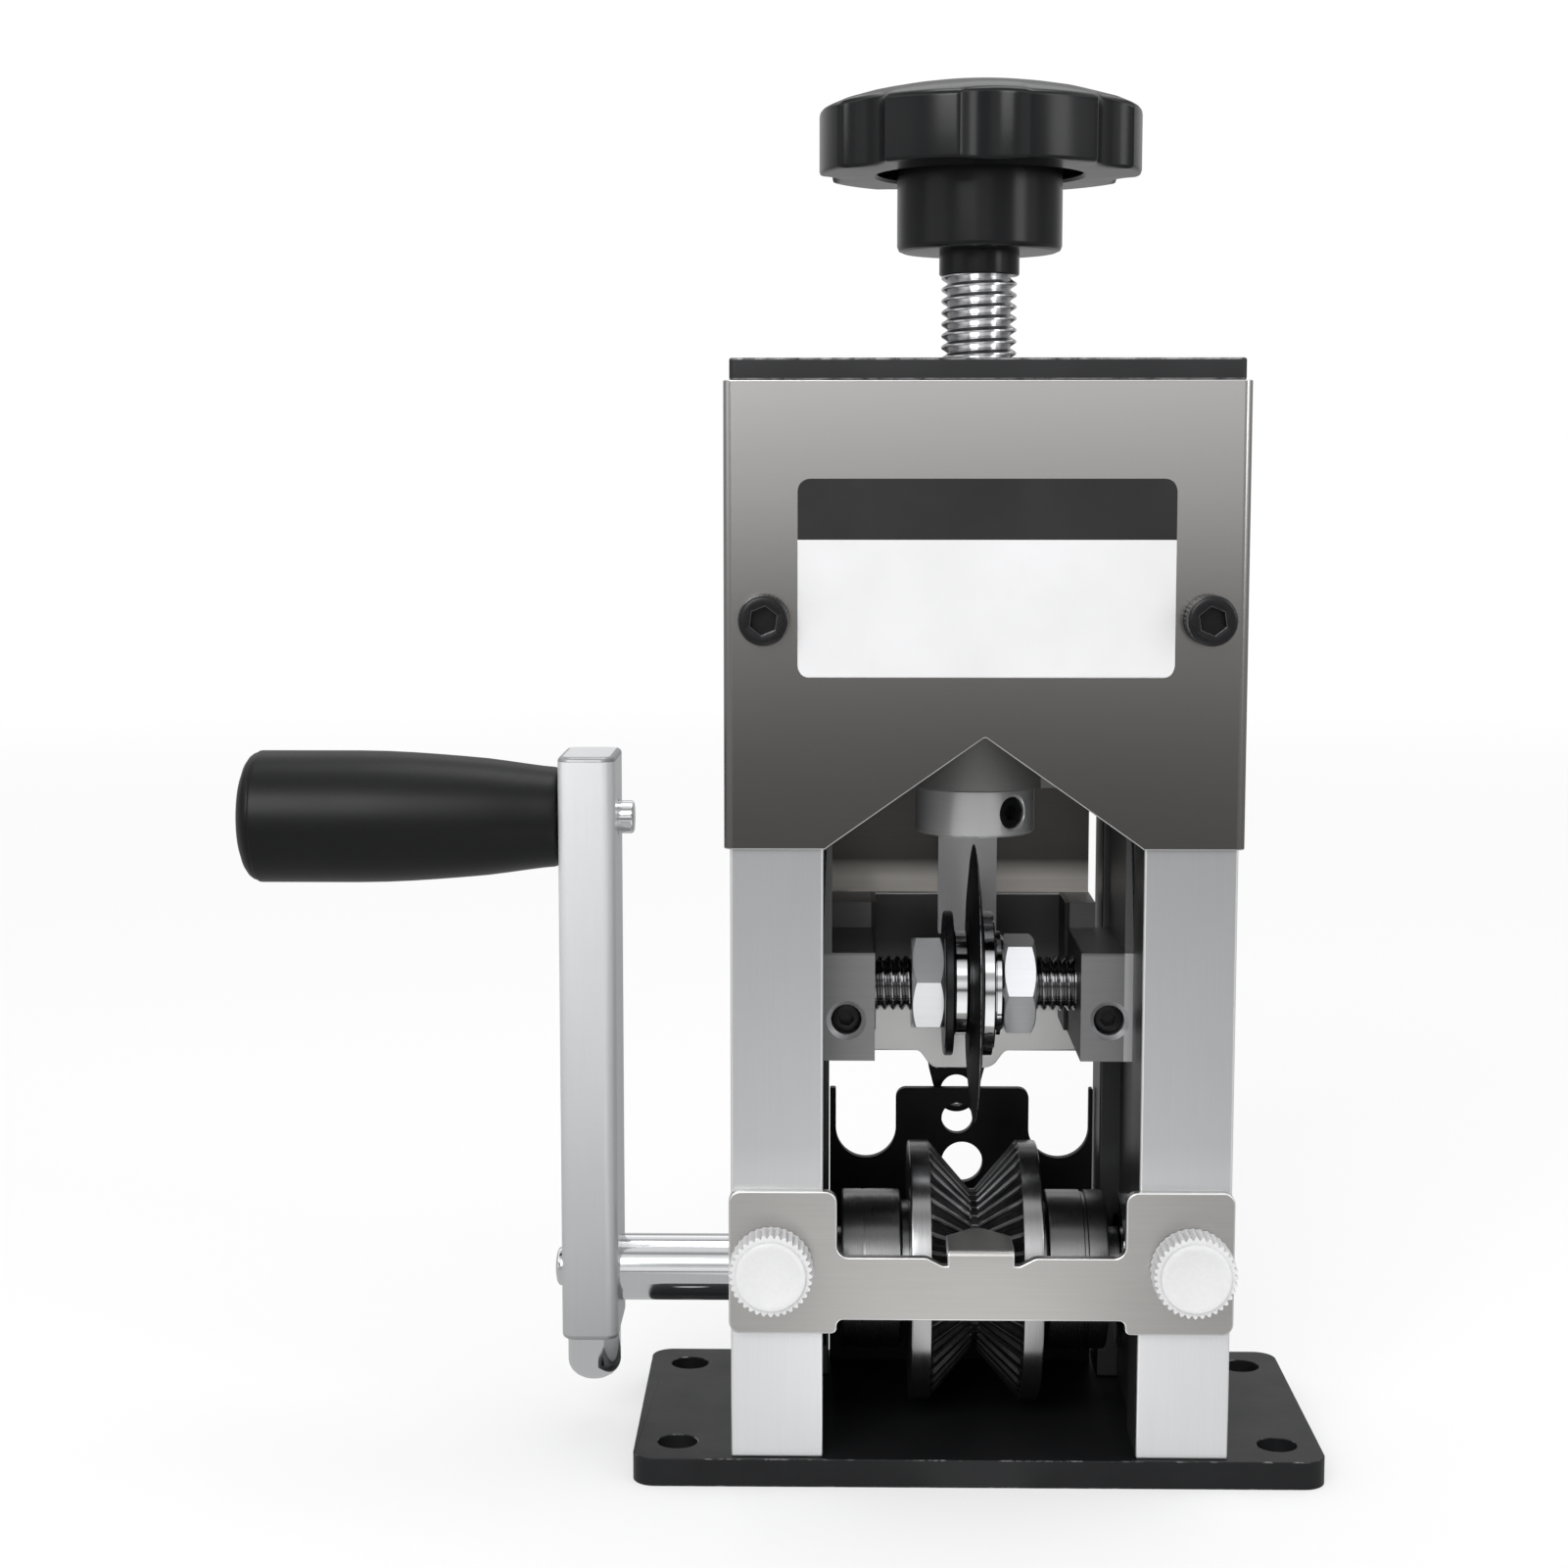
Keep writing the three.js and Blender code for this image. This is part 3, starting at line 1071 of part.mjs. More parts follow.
export default group;
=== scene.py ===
"""Bench wire stripper turned by a hand crank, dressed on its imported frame.

Sizes are millimetres until a form becomes an object: X to the right, Y to the back, Z up.
"""

import json
import logging
from dataclasses import dataclass
from enum import Enum
from math import atan2, cos, hypot, radians, sin, sqrt, tau
from typing import Callable, Iterable, Sequence, Union

import bmesh
import bpy
from mathutils import Euler, Matrix, Vector

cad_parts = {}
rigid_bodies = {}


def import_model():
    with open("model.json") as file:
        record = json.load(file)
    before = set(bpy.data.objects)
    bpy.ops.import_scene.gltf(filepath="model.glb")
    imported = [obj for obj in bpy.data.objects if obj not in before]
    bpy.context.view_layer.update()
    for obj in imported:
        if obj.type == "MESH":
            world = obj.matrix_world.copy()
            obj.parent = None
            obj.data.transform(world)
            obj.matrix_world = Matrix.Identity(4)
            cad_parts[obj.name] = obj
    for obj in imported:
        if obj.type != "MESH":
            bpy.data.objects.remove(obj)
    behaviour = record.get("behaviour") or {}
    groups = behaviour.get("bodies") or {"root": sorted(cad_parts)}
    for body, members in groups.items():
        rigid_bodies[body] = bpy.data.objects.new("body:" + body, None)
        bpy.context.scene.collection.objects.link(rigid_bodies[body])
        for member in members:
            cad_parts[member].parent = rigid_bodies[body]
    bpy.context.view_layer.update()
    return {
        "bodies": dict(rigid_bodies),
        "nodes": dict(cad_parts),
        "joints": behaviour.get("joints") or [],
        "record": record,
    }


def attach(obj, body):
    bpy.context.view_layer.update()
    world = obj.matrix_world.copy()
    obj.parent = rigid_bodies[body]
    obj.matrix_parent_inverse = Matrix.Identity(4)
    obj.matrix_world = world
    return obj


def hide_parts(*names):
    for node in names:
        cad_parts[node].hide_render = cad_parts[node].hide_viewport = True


log = logging.getLogger("wire_stripper")

Pair = tuple[float, float]
Triple = tuple[float, float, float]
Quad = tuple[float, float, float, float]
SIDES = (("left", -1), ("right", 1))
MM = 0.001  # a millimetre in metres
MICRON = 1e-6
FIT = 0.08  # gap round a piece in the bore that holds it
PAST = 1  # how far a cutting tool runs past a face
CRISP = 32  # degrees that an edge turns by where it stays crisp


class Facing(Enum):
    """The way that a form drawn along +Z faces, as the directions of its own X, Y and Z."""

    UP = ((1, 0, 0), (0, 1, 0), (0, 0, 1))
    DOWN = ((1, 0, 0), (0, -1, 0), (0, 0, -1))
    FORWARD = ((1, 0, 0), (0, 0, 1), (0, -1, 0))
    BACK = ((-1, 0, 0), (0, 0, 1), (0, 1, 0))
    RIGHT = ((0, 1, 0), (0, 0, 1), (1, 0, 0))
    LEFT = ((0, -1, 0), (0, 0, 1), (-1, 0, 0))

    def place(self, at: Triple) -> Matrix:
        """Return the matrix that turns a form this way and moves it to a point."""
        return Matrix.Translation(at) @ Matrix(self.value).transposed().to_4x4()


UP, DOWN, FORWARD, BACK, RIGHT, LEFT = Facing
OUTWARD = {-1: LEFT, 1: RIGHT}


def linked(name: str, data: bpy.types.ID) -> bpy.types.Object:
    """Put an object with this data in the scene."""
    item = bpy.data.objects.new(name, data)
    bpy.context.scene.collection.objects.link(item)
    return item


class Form:
    """A closed shape in millimetres, built up from bmesh operators."""

    def __init__(self) -> None:
        """Start with nothing."""
        self.bm = bmesh.new()
        self.edge_layer()

    def edge_layer(self) -> bmesh.types.BMLayerItem:
        """Return the face layer that marks worked edges and painted highlights, made if it isn't
        there.
        """
        layers = self.bm.faces.layers.float
        return layers.get("edge") or layers.new("edge")

    def mesh(self, name: str) -> bpy.types.Mesh:
        """Write the shape to a new mesh."""
        made = bpy.data.meshes.new(name)
        self.bm.to_mesh(made)
        return made

    def add(self, other: "Form") -> "Form":
        """Take in another form as a shell of its own, which uses it up."""
        mesh = other.mesh("shell")
        self.bm.from_mesh(mesh)
        bpy.data.meshes.remove(mesh)
        other.bm.free()
        return self

    def placed(self, facing: Facing, at: Triple) -> "Form":
        """Turn the form so that its own +Z faces that way, and move its origin to a point."""
        self.bm.transform(facing.place(at))
        return self

    def turned_by(self, angle: float) -> "Form":
        """Turn the form about +Z by an angle in degrees."""
        self.bm.transform(Matrix.Rotation(radians(angle), 4, "Z"))
        return self

    def outwards(self) -> "Form":
        """Turn every face of a single shell outwards."""
        bmesh.ops.recalc_face_normals(self.bm, faces=self.bm.faces)
        if self.bm.calc_volume(signed=True) < 0:
            bmesh.ops.reverse_faces(self.bm, faces=self.bm.faces)
        return self

    def _carve(self, operation: str, tools: Iterable["Form"]) -> "Form":
        """Combine with other forms, one after another, and use them up.

        Args:
            operation: DIFFERENCE, UNION or INTERSECT.
            tools: the other forms.

        Returns:
            This form.
        """
        for tool in tools:
            pair = [linked("blank", form.mesh("blank")) for form in (self, tool)]
            modifier = pair[0].modifiers.new("carve", "BOOLEAN")
            modifier.operation, modifier.object, modifier.solver = operation, pair[1], "EXACT"
            bpy.context.view_layer.update()
            depsgraph = bpy.context.evaluated_depsgraph_get()
            result = bpy.data.meshes.new_from_object(pair[0].evaluated_get(depsgraph))
            self.bm.clear()
            self.bm.from_mesh(result)
            self.edge_layer()
            bmesh.ops.remove_doubles(self.bm, verts=self.bm.verts, dist=0.002)
            for mesh in (result, *(item.data for item in pair)):
                bpy.data.meshes.remove(mesh)
            tool.bm.free()
        return self

    def cut(self, *tools: "Form") -> "Form":
        """Take other forms out of this one."""
        return self._carve("DIFFERENCE", tools)

    def join(self, *others: "Form") -> "Form":
        """Fuse other forms with this one."""
        return self._carve("UNION", others)

    def clip(self, other: "Form") -> "Form":
        """Keep only what lies inside another form."""
        return self._carve("INTERSECT", (other,))

    def bevel(
        self, width: float, segments: int = 2, angle: float = 30, above: float = -1000
    ) -> "Form":
        """Round the outer edges and mark the new faces as worked edges.

        Args:
            width: how far each edge is taken back.
            segments: steps across the rounding.
            angle: edges that turn by more than this many degrees are rounded.
            above: only edges with both ends higher than this are rounded.

        Returns:
            This form.
        """
        chosen = [
            e for e in self.bm.edges
            if len(e.link_faces) == 2 and e.is_convex and e.calc_face_angle(0) > radians(angle)
            and min(v.co.z for v in e.verts) > above
        ]
        made = bmesh.ops.bevel(
            self.bm, geom=chosen, offset=width, offset_type="OFFSET", segments=segments,
            profile=0.5, affect="EDGES", clamp_overlap=True, loop_slide=True, material=-1,
        )
        return self.worked(made["faces"])

    def worked(self, faces: Iterable[bmesh.types.BMFace]) -> "Form":
        """Mark faces as worked edges."""
        layer = self.edge_layer()
        for face in faces:
            face[layer] = 1.0
        return self

    def mark(self, chosen: Callable[[Vector], bool]) -> "Form":
        """Give the faces whose middles are chosen the worked-edge mark, which some finishes paint
        as a highlight.
        """
        return self.worked(f for f in self.bm.faces if chosen(f.calc_center_median()))

    def finished(self, name: str, angle: float = CRISP) -> bpy.types.Object:
        """Make the object, in metres, with smooth faces, crisp corners and its place in its mesh.

        Args:
            name: the object's name.
            angle: edges that turn by more than this many degrees stay crisp.

        Returns:
            The new object.
        """
        bm = self.bm
        loose = [v for v in bm.verts if not v.link_faces]
        bmesh.ops.delete(bm, geom=loose, context="VERTS")
        if any(f.calc_area() < 1e-7 for f in bm.faces):
            bmesh.ops.dissolve_degenerate(bm, dist=0.0005, edges=bm.edges)
        open_edges = sum(len(e.link_faces) != 2 for e in bm.edges)
        if open_edges:
            log.warning("%s has %d open edges", name, open_edges)
        for e in bm.edges:
            e.smooth = len(e.link_faces) == 2 and e.calc_face_angle(0) < radians(angle)
        for f in bm.faces:
            f.smooth = True
        bm.transform(Matrix.Scale(MM, 4))
        item = linked(name, self.mesh(name))
        bm.free()
        item.modifiers.new("even_normals", "WEIGHTED_NORMAL").keep_sharp = True
        return item


def spun(points: Iterable[Triple], closed: bool = False, **how: object) -> Form:
    """Spin a line or a loop of points about +Z, with the operator's own settings."""
    form = Form()
    bm = form.bm
    verts = [bm.verts.new(point) for point in points]
    pairs = [*zip(verts, verts[1:])] + ([(verts[-1], verts[0])] if closed else [])
    edges = [bm.edges.new(pair) for pair in pairs]
    bmesh.ops.spin(bm, geom=verts + edges, cent=(0, 0, 0), axis=(0, 0, 1), **how)
    return form


def lathe(profile: Sequence[Pair], steps: int = 96, closed: bool = False) -> Form:
    """Turn a profile of heights and radii about +Z; a closed one is a loop off the axis."""
    points = [(r, 0, h) for h, r in profile]
    form = spun(points, closed, angle=tau, steps=steps, use_merge=True)
    bmesh.ops.remove_doubles(form.bm, verts=form.bm.verts, dist=0.0005)
    return form.outwards()


def waved(
    rows: Iterable[Sequence[float]], steps: int, wave: Callable[[float], float],
    closed: bool = False,
) -> Form:
    """Turn a profile whose radius dips round the axis.

    Args:
        rows: height, radius and, where they aren't 0, depth of the dip and rise at the dip.
        steps: segments round the axis.
        wave: from an angle in radians to the share of the dip, 0 to 1.
        closed: whether the profile is a loop that stays off the axis.

    Returns:
        The turned form.
    """
    full = [(*row, 0, 0)[:4] for row in rows]
    form = lathe([row[:2] for row in full], steps, closed)
    known = {(round(h, 3), round(r, 3)): rest for h, r, *rest in full}
    for vert in form.bm.verts:
        x, y, z = vert.co
        radius = hypot(x, y)
        dip, rise = known.get((round(z, 3), round(radius, 3)), (0, 0))
        if radius > 0.01 and (dip or rise):
            share = wave(atan2(y, x))
            scale = (radius - dip * share) / radius
            vert.co = (x * scale, y * scale, z + rise * share)
    return form.outwards()


def tube(h0: float, h1: float, outer: float, inner: float, edge: float, steps: int = 96) -> Form:
    """Turn a ring with broken edges from one height to another."""
    b = min(edge, (outer - inner) / 3, (h1 - h0) / 3)
    profile = [
        (h0, inner + b / 2), (h0, outer - b), (h0 + b, outer), (h1 - b, outer),
        (h1, outer - b), (h1, inner + b / 2), (h1 - b / 2, inner), (h0 + b / 2, inner),
    ]
    return lathe(profile, steps, closed=True)


def rod(h0: float, h1: float, radius: float, edge: float = 0, steps: int = 72) -> Form:
    """Turn a plain cylinder, with broken edges where edge isn't 0."""
    b = edge * 0.3
    near = [(0, 0), (0, radius)]
    if edge:
        near = [(0, 0), (0, radius - edge), (b, radius - b), (edge, radius)]
    far = [(h1 - h, r) for h, r in reversed(near)]
    return lathe([(h0 + h, r) for h, r in near] + far, steps)


def plate(corners: Iterable[Sequence[float]], thickness: float) -> Form:
    """Raise a flat outline by a thickness along +Z.

    Args:
        corners: x, y and, where the corner is rounded, its radius.
        thickness: how far the outline is raised.

    Returns:
        The plate.
    """
    form = Form()
    bm = form.bm
    known = [(bm.verts.new((x, y, 0)), *radius) for x, y, *radius in corners]
    bm.faces.new([vert for vert, *_ in known])
    for vert, *radius in known:
        if radius and radius[0] > 0:
            bmesh.ops.bevel(
                bm, geom=[vert], offset=radius[0], offset_type="OFFSET",
                segments=3 if radius[0] < 0.6 else 6 if radius[0] < 3 else 14,
                profile=0.5, affect="VERTICES", clamp_overlap=True, material=-1,
            )
    raised = bmesh.ops.extrude_face_region(bm, geom=bm.faces[:])
    lifted = [g for g in raised["geom"] if isinstance(g, bmesh.types.BMVert)]
    bmesh.ops.translate(bm, verts=lifted, vec=(0, 0, thickness))
    rims = [e for e in bm.edges if e.is_boundary]
    if rims:
        bmesh.ops.holes_fill(bm, edges=rims, sides=0)
    return form.outwards()


def block(x0: float, x1: float, y0: float, y1: float, z0: float, z1: float) -> Form:
    """Make a plain block between two corners."""
    form = Form()
    middle = Vector((x0 + x1, y0 + y1, z0 + z1)) / 2
    size = Matrix.Diagonal((abs(x1 - x0), abs(y1 - y0), z1 - z0, 1))
    bmesh.ops.create_cube(form.bm, size=1, matrix=Matrix.Translation(middle) @ size)
    return form.outwards()


def rectangle(x0: float, x1: float, y0: float, y1: float, r: float = 0) -> list[Triple]:
    """List the corners of a rectangle with rounded corners."""
    return [(x0, y0, r), (x1, y0, r), (x1, y1, r), (x0, y1, r)]


def hexagon(flats: float, turn: float = 0) -> list[Pair]:
    """List the corners of a hexagon by its width across flats, turned by degrees."""
    r, angles = flats / sqrt(3), [radians(60 * i + turn) for i in range(6)]
    return [(r * cos(a), r * sin(a)) for a in angles]


def hex_pit(flats: float, depth: float, turn: float = 0) -> Form:
    """Make the tool that sinks a hexagon socket into a face at height 0."""
    return plate(hexagon(flats, turn), depth + PAST).placed(UP, (0, 0, -depth))


def thread(h0: float, h1: float, crest: float, root: float, pitch: float) -> Form:
    """Wind a right-hand thread from one height to another.

    Args:
        h0: lower end.
        h1: upper end.
        crest: outer radius.
        root: radius at the bottom of the groove.
        pitch: height of a turn.

    Returns:
        The wound form, closed with a flat face at each end.
    """
    steps, spare = 48, 2  # segments in a turn, turns that are cut off at each end
    shape = (
        (0, 0), (0.1, 0.1), (0.36, 0.86), (0.44, 1), (0.58, 1), (0.66, 0.86), (0.92, 0.1), (1, 0),
    )
    start = h0 - spare * pitch
    points = [(root + (crest - root) * t, 0, start + pitch * s) for s, t in shape]
    turns = int((h1 - h0) / pitch) + 2 * spare
    rise = (0, 0, pitch / steps)
    form = spun(points, dvec=rise, angle=tau * turns, steps=steps * turns, use_merge=False)
    bm = form.bm
    bmesh.ops.remove_doubles(bm, verts=bm.verts, dist=0.002)
    for height, outward in ((h0, -1), (h1, 1)):
        found = bmesh.ops.bisect_plane(
            bm, geom=bm.verts[:] + bm.edges[:] + bm.faces[:], plane_co=(0, 0, height),
            plane_no=(0, 0, outward), clear_outer=True,
        )
        edges = [g for g in found["geom_cut"] if isinstance(g, bmesh.types.BMEdge)]
        bmesh.ops.edgeloop_fill(bm, edges=[e for e in edges if e.is_boundary])
    return form.outwards()


def operator(operation: str, turned: bool = False) -> Callable[..., "Spot"]:
    """Make a Spot's method for an operation of a Math node; turned puts the other value first."""

    def method(self: "Spot", *others: Union["Spot", float]) -> "Spot":
        """Add the Math node."""
        values = (*others, self) if turned else (self, *others)
        return self.sheet.node("Math", {"operation": operation}, dict(enumerate(values)))

    return method


@dataclass(frozen=True)
class Spot:
    """A socket in a shader, which takes part in expressions."""

    sheet: "Sheet"
    socket: bpy.types.NodeSocket

    __add__ = __radd__ = operator("ADD")
    __sub__, __rsub__ = operator("SUBTRACT"), operator("SUBTRACT", turned=True)
    __mul__ = __rmul__ = operator("MULTIPLY")
    __truediv__, __pow__, __abs__ = operator("DIVIDE"), operator("POWER"), operator("ABSOLUTE")
    above, angle = operator("GREATER_THAN"), operator("ARCTAN2")
    least, most = operator("MINIMUM"), operator("MAXIMUM")

    def clamped(self) -> "Spot":
        """Keep between 0 and 1."""
        return self.least(1.0).most(0.0)

    def spread(self, low: float, high: float, to_low: float = 0, to_high: float = 1) -> "Spot":
        """Map one range onto another, held at its ends."""
        values = {0: self, 1: low, 2: high, 3: to_low, 4: to_high}
        return self.sheet.node("MapRange", {"clamp": True}, values)

    def read(self, stops: Sequence[Pair]) -> Union["Spot", float]:
        """Read a level off a line through pairs of place and level, held at both ends."""
        level: Spot | float = stops[0][1]
        for (a, low), (b, high) in zip(stops, stops[1:]):
            level = self.spread(a, b, 0, high - low) + level
        return level


Colour = Spot | Triple | float  # a number is a grey


class Sheet:
    """One material's or world's nodes."""

    def __init__(self, owner: bpy.types.Material | bpy.types.World) -> None:
        """Start with the owner's node tree emptied."""
        self.owner = owner
        owner.use_nodes = True
        self.tree = owner.node_tree
        self.tree.nodes.clear()

    @classmethod
    def named(cls, name: str) -> "Sheet":
        """Start an empty material with that name."""
        return cls(bpy.data.materials.new(name))

    def node(
        self, kind: str, settings: dict | None = None, inputs: dict | None = None,
        output: int | str = 0,
    ) -> Spot:
        """Add a node.

        Args:
            kind: its type, without the ShaderNode at the front.
            settings: its properties, which are set first.
            inputs: a value or a Spot for each socket, by number or name.
            output: which of its outputs is returned.

        Returns:
            The output.
        """
        made = self.tree.nodes.new("ShaderNode" + kind)
        for key, value in (settings or {}).items():
            setattr(made, key, value)
        for key, value in (inputs or {}).items():
            if isinstance(value, Spot):
                self.tree.links.new(value.socket, made.inputs[key])
            elif value is not None:
                made.inputs[key].default_value = value
        return Spot(self, made.outputs[output])

    def end(self, surface: Spot, kind: str = "OutputMaterial") -> None:
        """Lead a surface to the tree's output."""
        self.tree.links.new(surface.socket, self.tree.nodes.new("ShaderNode" + kind).inputs[0])

    def place(self, output: str = "Object") -> Spot:
        """Return the point on the object, in metres, or another coordinate."""
        return self.node("TexCoord", output=output)

    def parts(self, of: str = "Object") -> list[Spot]:
        """Return X, Y and Z of the point on the object, or of another coordinate."""
        split = self.node("SeparateXYZ", {}, {0: self.place(of)})
        return [Spot(self, output) for output in split.socket.node.outputs]

    def noise(self, scale: Triple | float, detail: float = 3, rough: float = 0.55) -> Spot:
        """Add noise, with a scale per metre for each direction."""
        per = scale if isinstance(scale, tuple) else (scale, scale, scale)
        spot = self.node("Mapping", {}, {"Vector": self.place(), "Scale": per})
        inputs = {"Vector": spot, "Scale": 1.0, "Detail": detail, "Roughness": rough}
        return self.node("TexNoise", {}, inputs)

    def mix(self, factor: Spot | float, *colours: Colour) -> Spot:
        """Mix two colours."""
        pair = [(c, c, c) if isinstance(c, float) else c for c in colours]
        a, b = (c if isinstance(c, Spot) else (*c, 1.0) for c in pair)
        settings = {"data_type": "RGBA", "clamp_factor": True}
        return self.node("Mix", settings, {0: factor, 6: a, 7: b}, output=2)

    def edge(self) -> Spot:
        """Return the mark of the worked edges and painted highlights."""
        return self.node("Attribute", {"attribute_name": "edge"}, output="Fac")

    def bump(self, height: Spot, distance: float, under: Spot | None = None) -> Spot:
        """Turn a height from 0 to 1 into a normal; distance is the height in micrometres."""
        inputs = {"Height": height, "Distance": distance * MICRON, "Strength": 1.0, "Normal": under}
        return self.node("Bump", {}, inputs)

    def ray(self, kind: str) -> Spot:
        """Return 1 for rays of a kind."""
        return self.node("LightPath", output=f"Is {kind} Ray")

    def light(self, kind: str, strength: Spot | float, blue: float = 1) -> Spot:
        """Add an Emission or a Background shader."""
        return self.node(kind, {}, {"Color": (1, 1, blue, 1), "Strength": strength})

    def blend(self, factor: Spot, off: Spot, on: Spot) -> Spot:
        """Mix two shaders."""
        return self.node("MixShader", {}, {0: factor, 1: off, 2: on})

    def shade(
        self, colour: Spot, rough: Spot, metal: Spot | float, normal: Spot | None,
        shine: float = 0.5,
    ) -> bpy.types.Material:
        """Add the surface shader and finish the material."""
        inputs = {
            "Base Color": colour, "Roughness": rough, "Metallic": metal, "Normal": normal,
            "Specular IOR Level": shine,
        }
        self.end(self.node("BsdfPrincipled", {}, inputs))
        return self.owner


class Grain(Enum):
    """Direction of a surface's fine lines, as noise scales per metre."""

    ALONG_X = (60.0, 3200.0, 3200.0)
    ALONG_Z = (3200.0, 3200.0, 50.0)
    ROUND_X = (5200.0, 90.0, 90.0)
    ROUND_Z = (90.0, 90.0, 5200.0)
    CAST = (1500.0, 1500.0, 1500.0)


@dataclass(frozen=True)
class Finish:
    """What a surface looks like."""

    name: str
    colour: Triple
    rough: float
    metal: float
    grain: Grain
    depth: float  # height of the grain, in micrometres
    tone: float  # how much the grain and the clouds change the colour
    clouds: float  # scale of the clouds, per metre
    edge_colour: Colour | None = None  # colour of the marked edges: real wear on most finishes, a painted highlight or a painted dark reflection on some
    edge_reach: float = 0.5  # how much of the marked edges takes the edge colour
    shine: float = 0.5
    peel: float = 0  # height of a coat's orange peel, in micrometres
    painted_shade: tuple[Pair, ...] = ()  # painted shade: height in millimetres and share of the colour kept
    painted_shade_to: float = 1000  # depth in millimetres behind which the painted shade stops
    inner: Quad | None = None  # painted shade on the inside faces: half width, two depths, share of the colour kept

    def material(self) -> bpy.types.Material:
        """Build the material."""
        sheet = Sheet.named(self.name)
        clouds = sheet.noise(self.clouds, 4).spread(0.3, 0.7)
        lines = sheet.noise(self.grain.value, 3).spread(0.25, 0.75) if self.depth else clouds
        shift = (lines * 0.6 + clouds * 0.4 - 0.5) * self.tone
        dark = tuple(c * (1 - self.tone) for c in self.colour)
        light = tuple(min(1.0, c * (1 + self.tone)) for c in self.colour)
        colour = sheet.mix((shift / self.tone + 0.5).clamped(), dark, light)
        x, y, z = sheet.parts()
        # Painted shade: the colour is darkened by a level read off the height, except behind a
        # depth.
        if self.painted_shade:
            level = (z * 1000).read(self.painted_shade)
            behind = y.above(self.painted_shade_to * MM)
            colour = sheet.mix(level * (1 - behind) + behind, 0.0, colour)
        rough = self.rough + shift * 0.9
        metal: Spot | float = self.metal
        # Marked edges take the edge colour: real wear, and on some finishes a painted highlight or
        # a painted dark reflection.
        if self.edge_colour:
            patches = sheet.noise(420, 5, 0.65)
            mask = (sheet.edge() * (patches + self.edge_reach - 0.5).spread(0.35, 0.6)).clamped()
            colour = sheet.mix(mask, colour, self.edge_colour)
            rough = rough + mask * (0.32 - self.rough)
            metal = self.metal or mask * 0.9
        # Painted shade: faces inside the half width and between the two depths are darkened.
        if self.inner:
            half, y0, y1, share = self.inner
            shade_mask = (half * MM - abs(x)).above(0) * y.above(y0 * MM) * (1 - y.above(y1 * MM))
            colour = sheet.mix(shade_mask * (1 - share), colour, 0.0)
        normal = sheet.bump(lines, self.depth) if self.depth else None
        if self.peel:
            normal = sheet.bump(sheet.noise(900, 2, 0.4), self.peel, normal)
        return sheet.shade(colour, rough.clamped(), metal, normal, self.shine)


@dataclass(frozen=True)
class LabelFinish:
    """A blank white plate with a plain dark band along its top."""

    name: str
    band_from: float  # height of the band's lower edge

    def material(self) -> bpy.types.Material:
        """Build the material."""
        sheet = Sheet.named(self.name)
        soft = sheet.noise(60).spread(0.3, 0.7)
        grain = sheet.noise(2600, 2)
        white = sheet.mix(soft, 0.65, (0.7, 0.7, 0.71))
        dark = sheet.mix(soft, (0.017, 0.0165, 0.017), (0.023, 0.0225, 0.023))
        colour = sheet.mix(sheet.parts()[2].above(self.band_from * MM), white, dark)
        return sheet.shade(colour, (grain - 0.5) * 0.08 + 0.42, 0, sheet.bump(grain, 4), 0.25)


@dataclass(frozen=True)
class RollerFinish:
    """Dark hardened steel with polished rims and a painted highlight along one wall of each groove.
    """

    name: str
    rim_in: float  # where the plain rims begin, from the middle

    def material(self) -> bpy.types.Material:
        """Build the material."""
        sheet = Sheet.named(self.name)
        rim = abs(sheet.parts()[0]).spread((self.rim_in - 0.1) * MM, (self.rim_in + 0.1) * MM)
        lines = sheet.noise(Grain.ROUND_X.value).spread(0.25, 0.75)
        soot = sheet.noise(260, 5, 0.6).spread(0.3, 0.72)
        # Painted highlight: the marked wall of each groove is painted bright.
        crest = sheet.edge()
        steel = sheet.mix(soot, (0.035, 0.035, 0.037), (0.08, 0.079, 0.079))
        steel = sheet.mix(crest * 0.9, steel, (0.62, 0.62, 0.63))
        bright = sheet.mix(lines, (0.36, 0.36, 0.365), 0.42)
        rough = 0.4 - rim * 0.18 - crest * 0.1 + (lines - 0.5) * 0.05
        return sheet.shade(sheet.mix(rim, steel, bright), rough.clamped(), 1, sheet.bump(lines, 2))


ALONG_X, ALONG_Z, ROUND_X, ROUND_Z, CAST = Grain
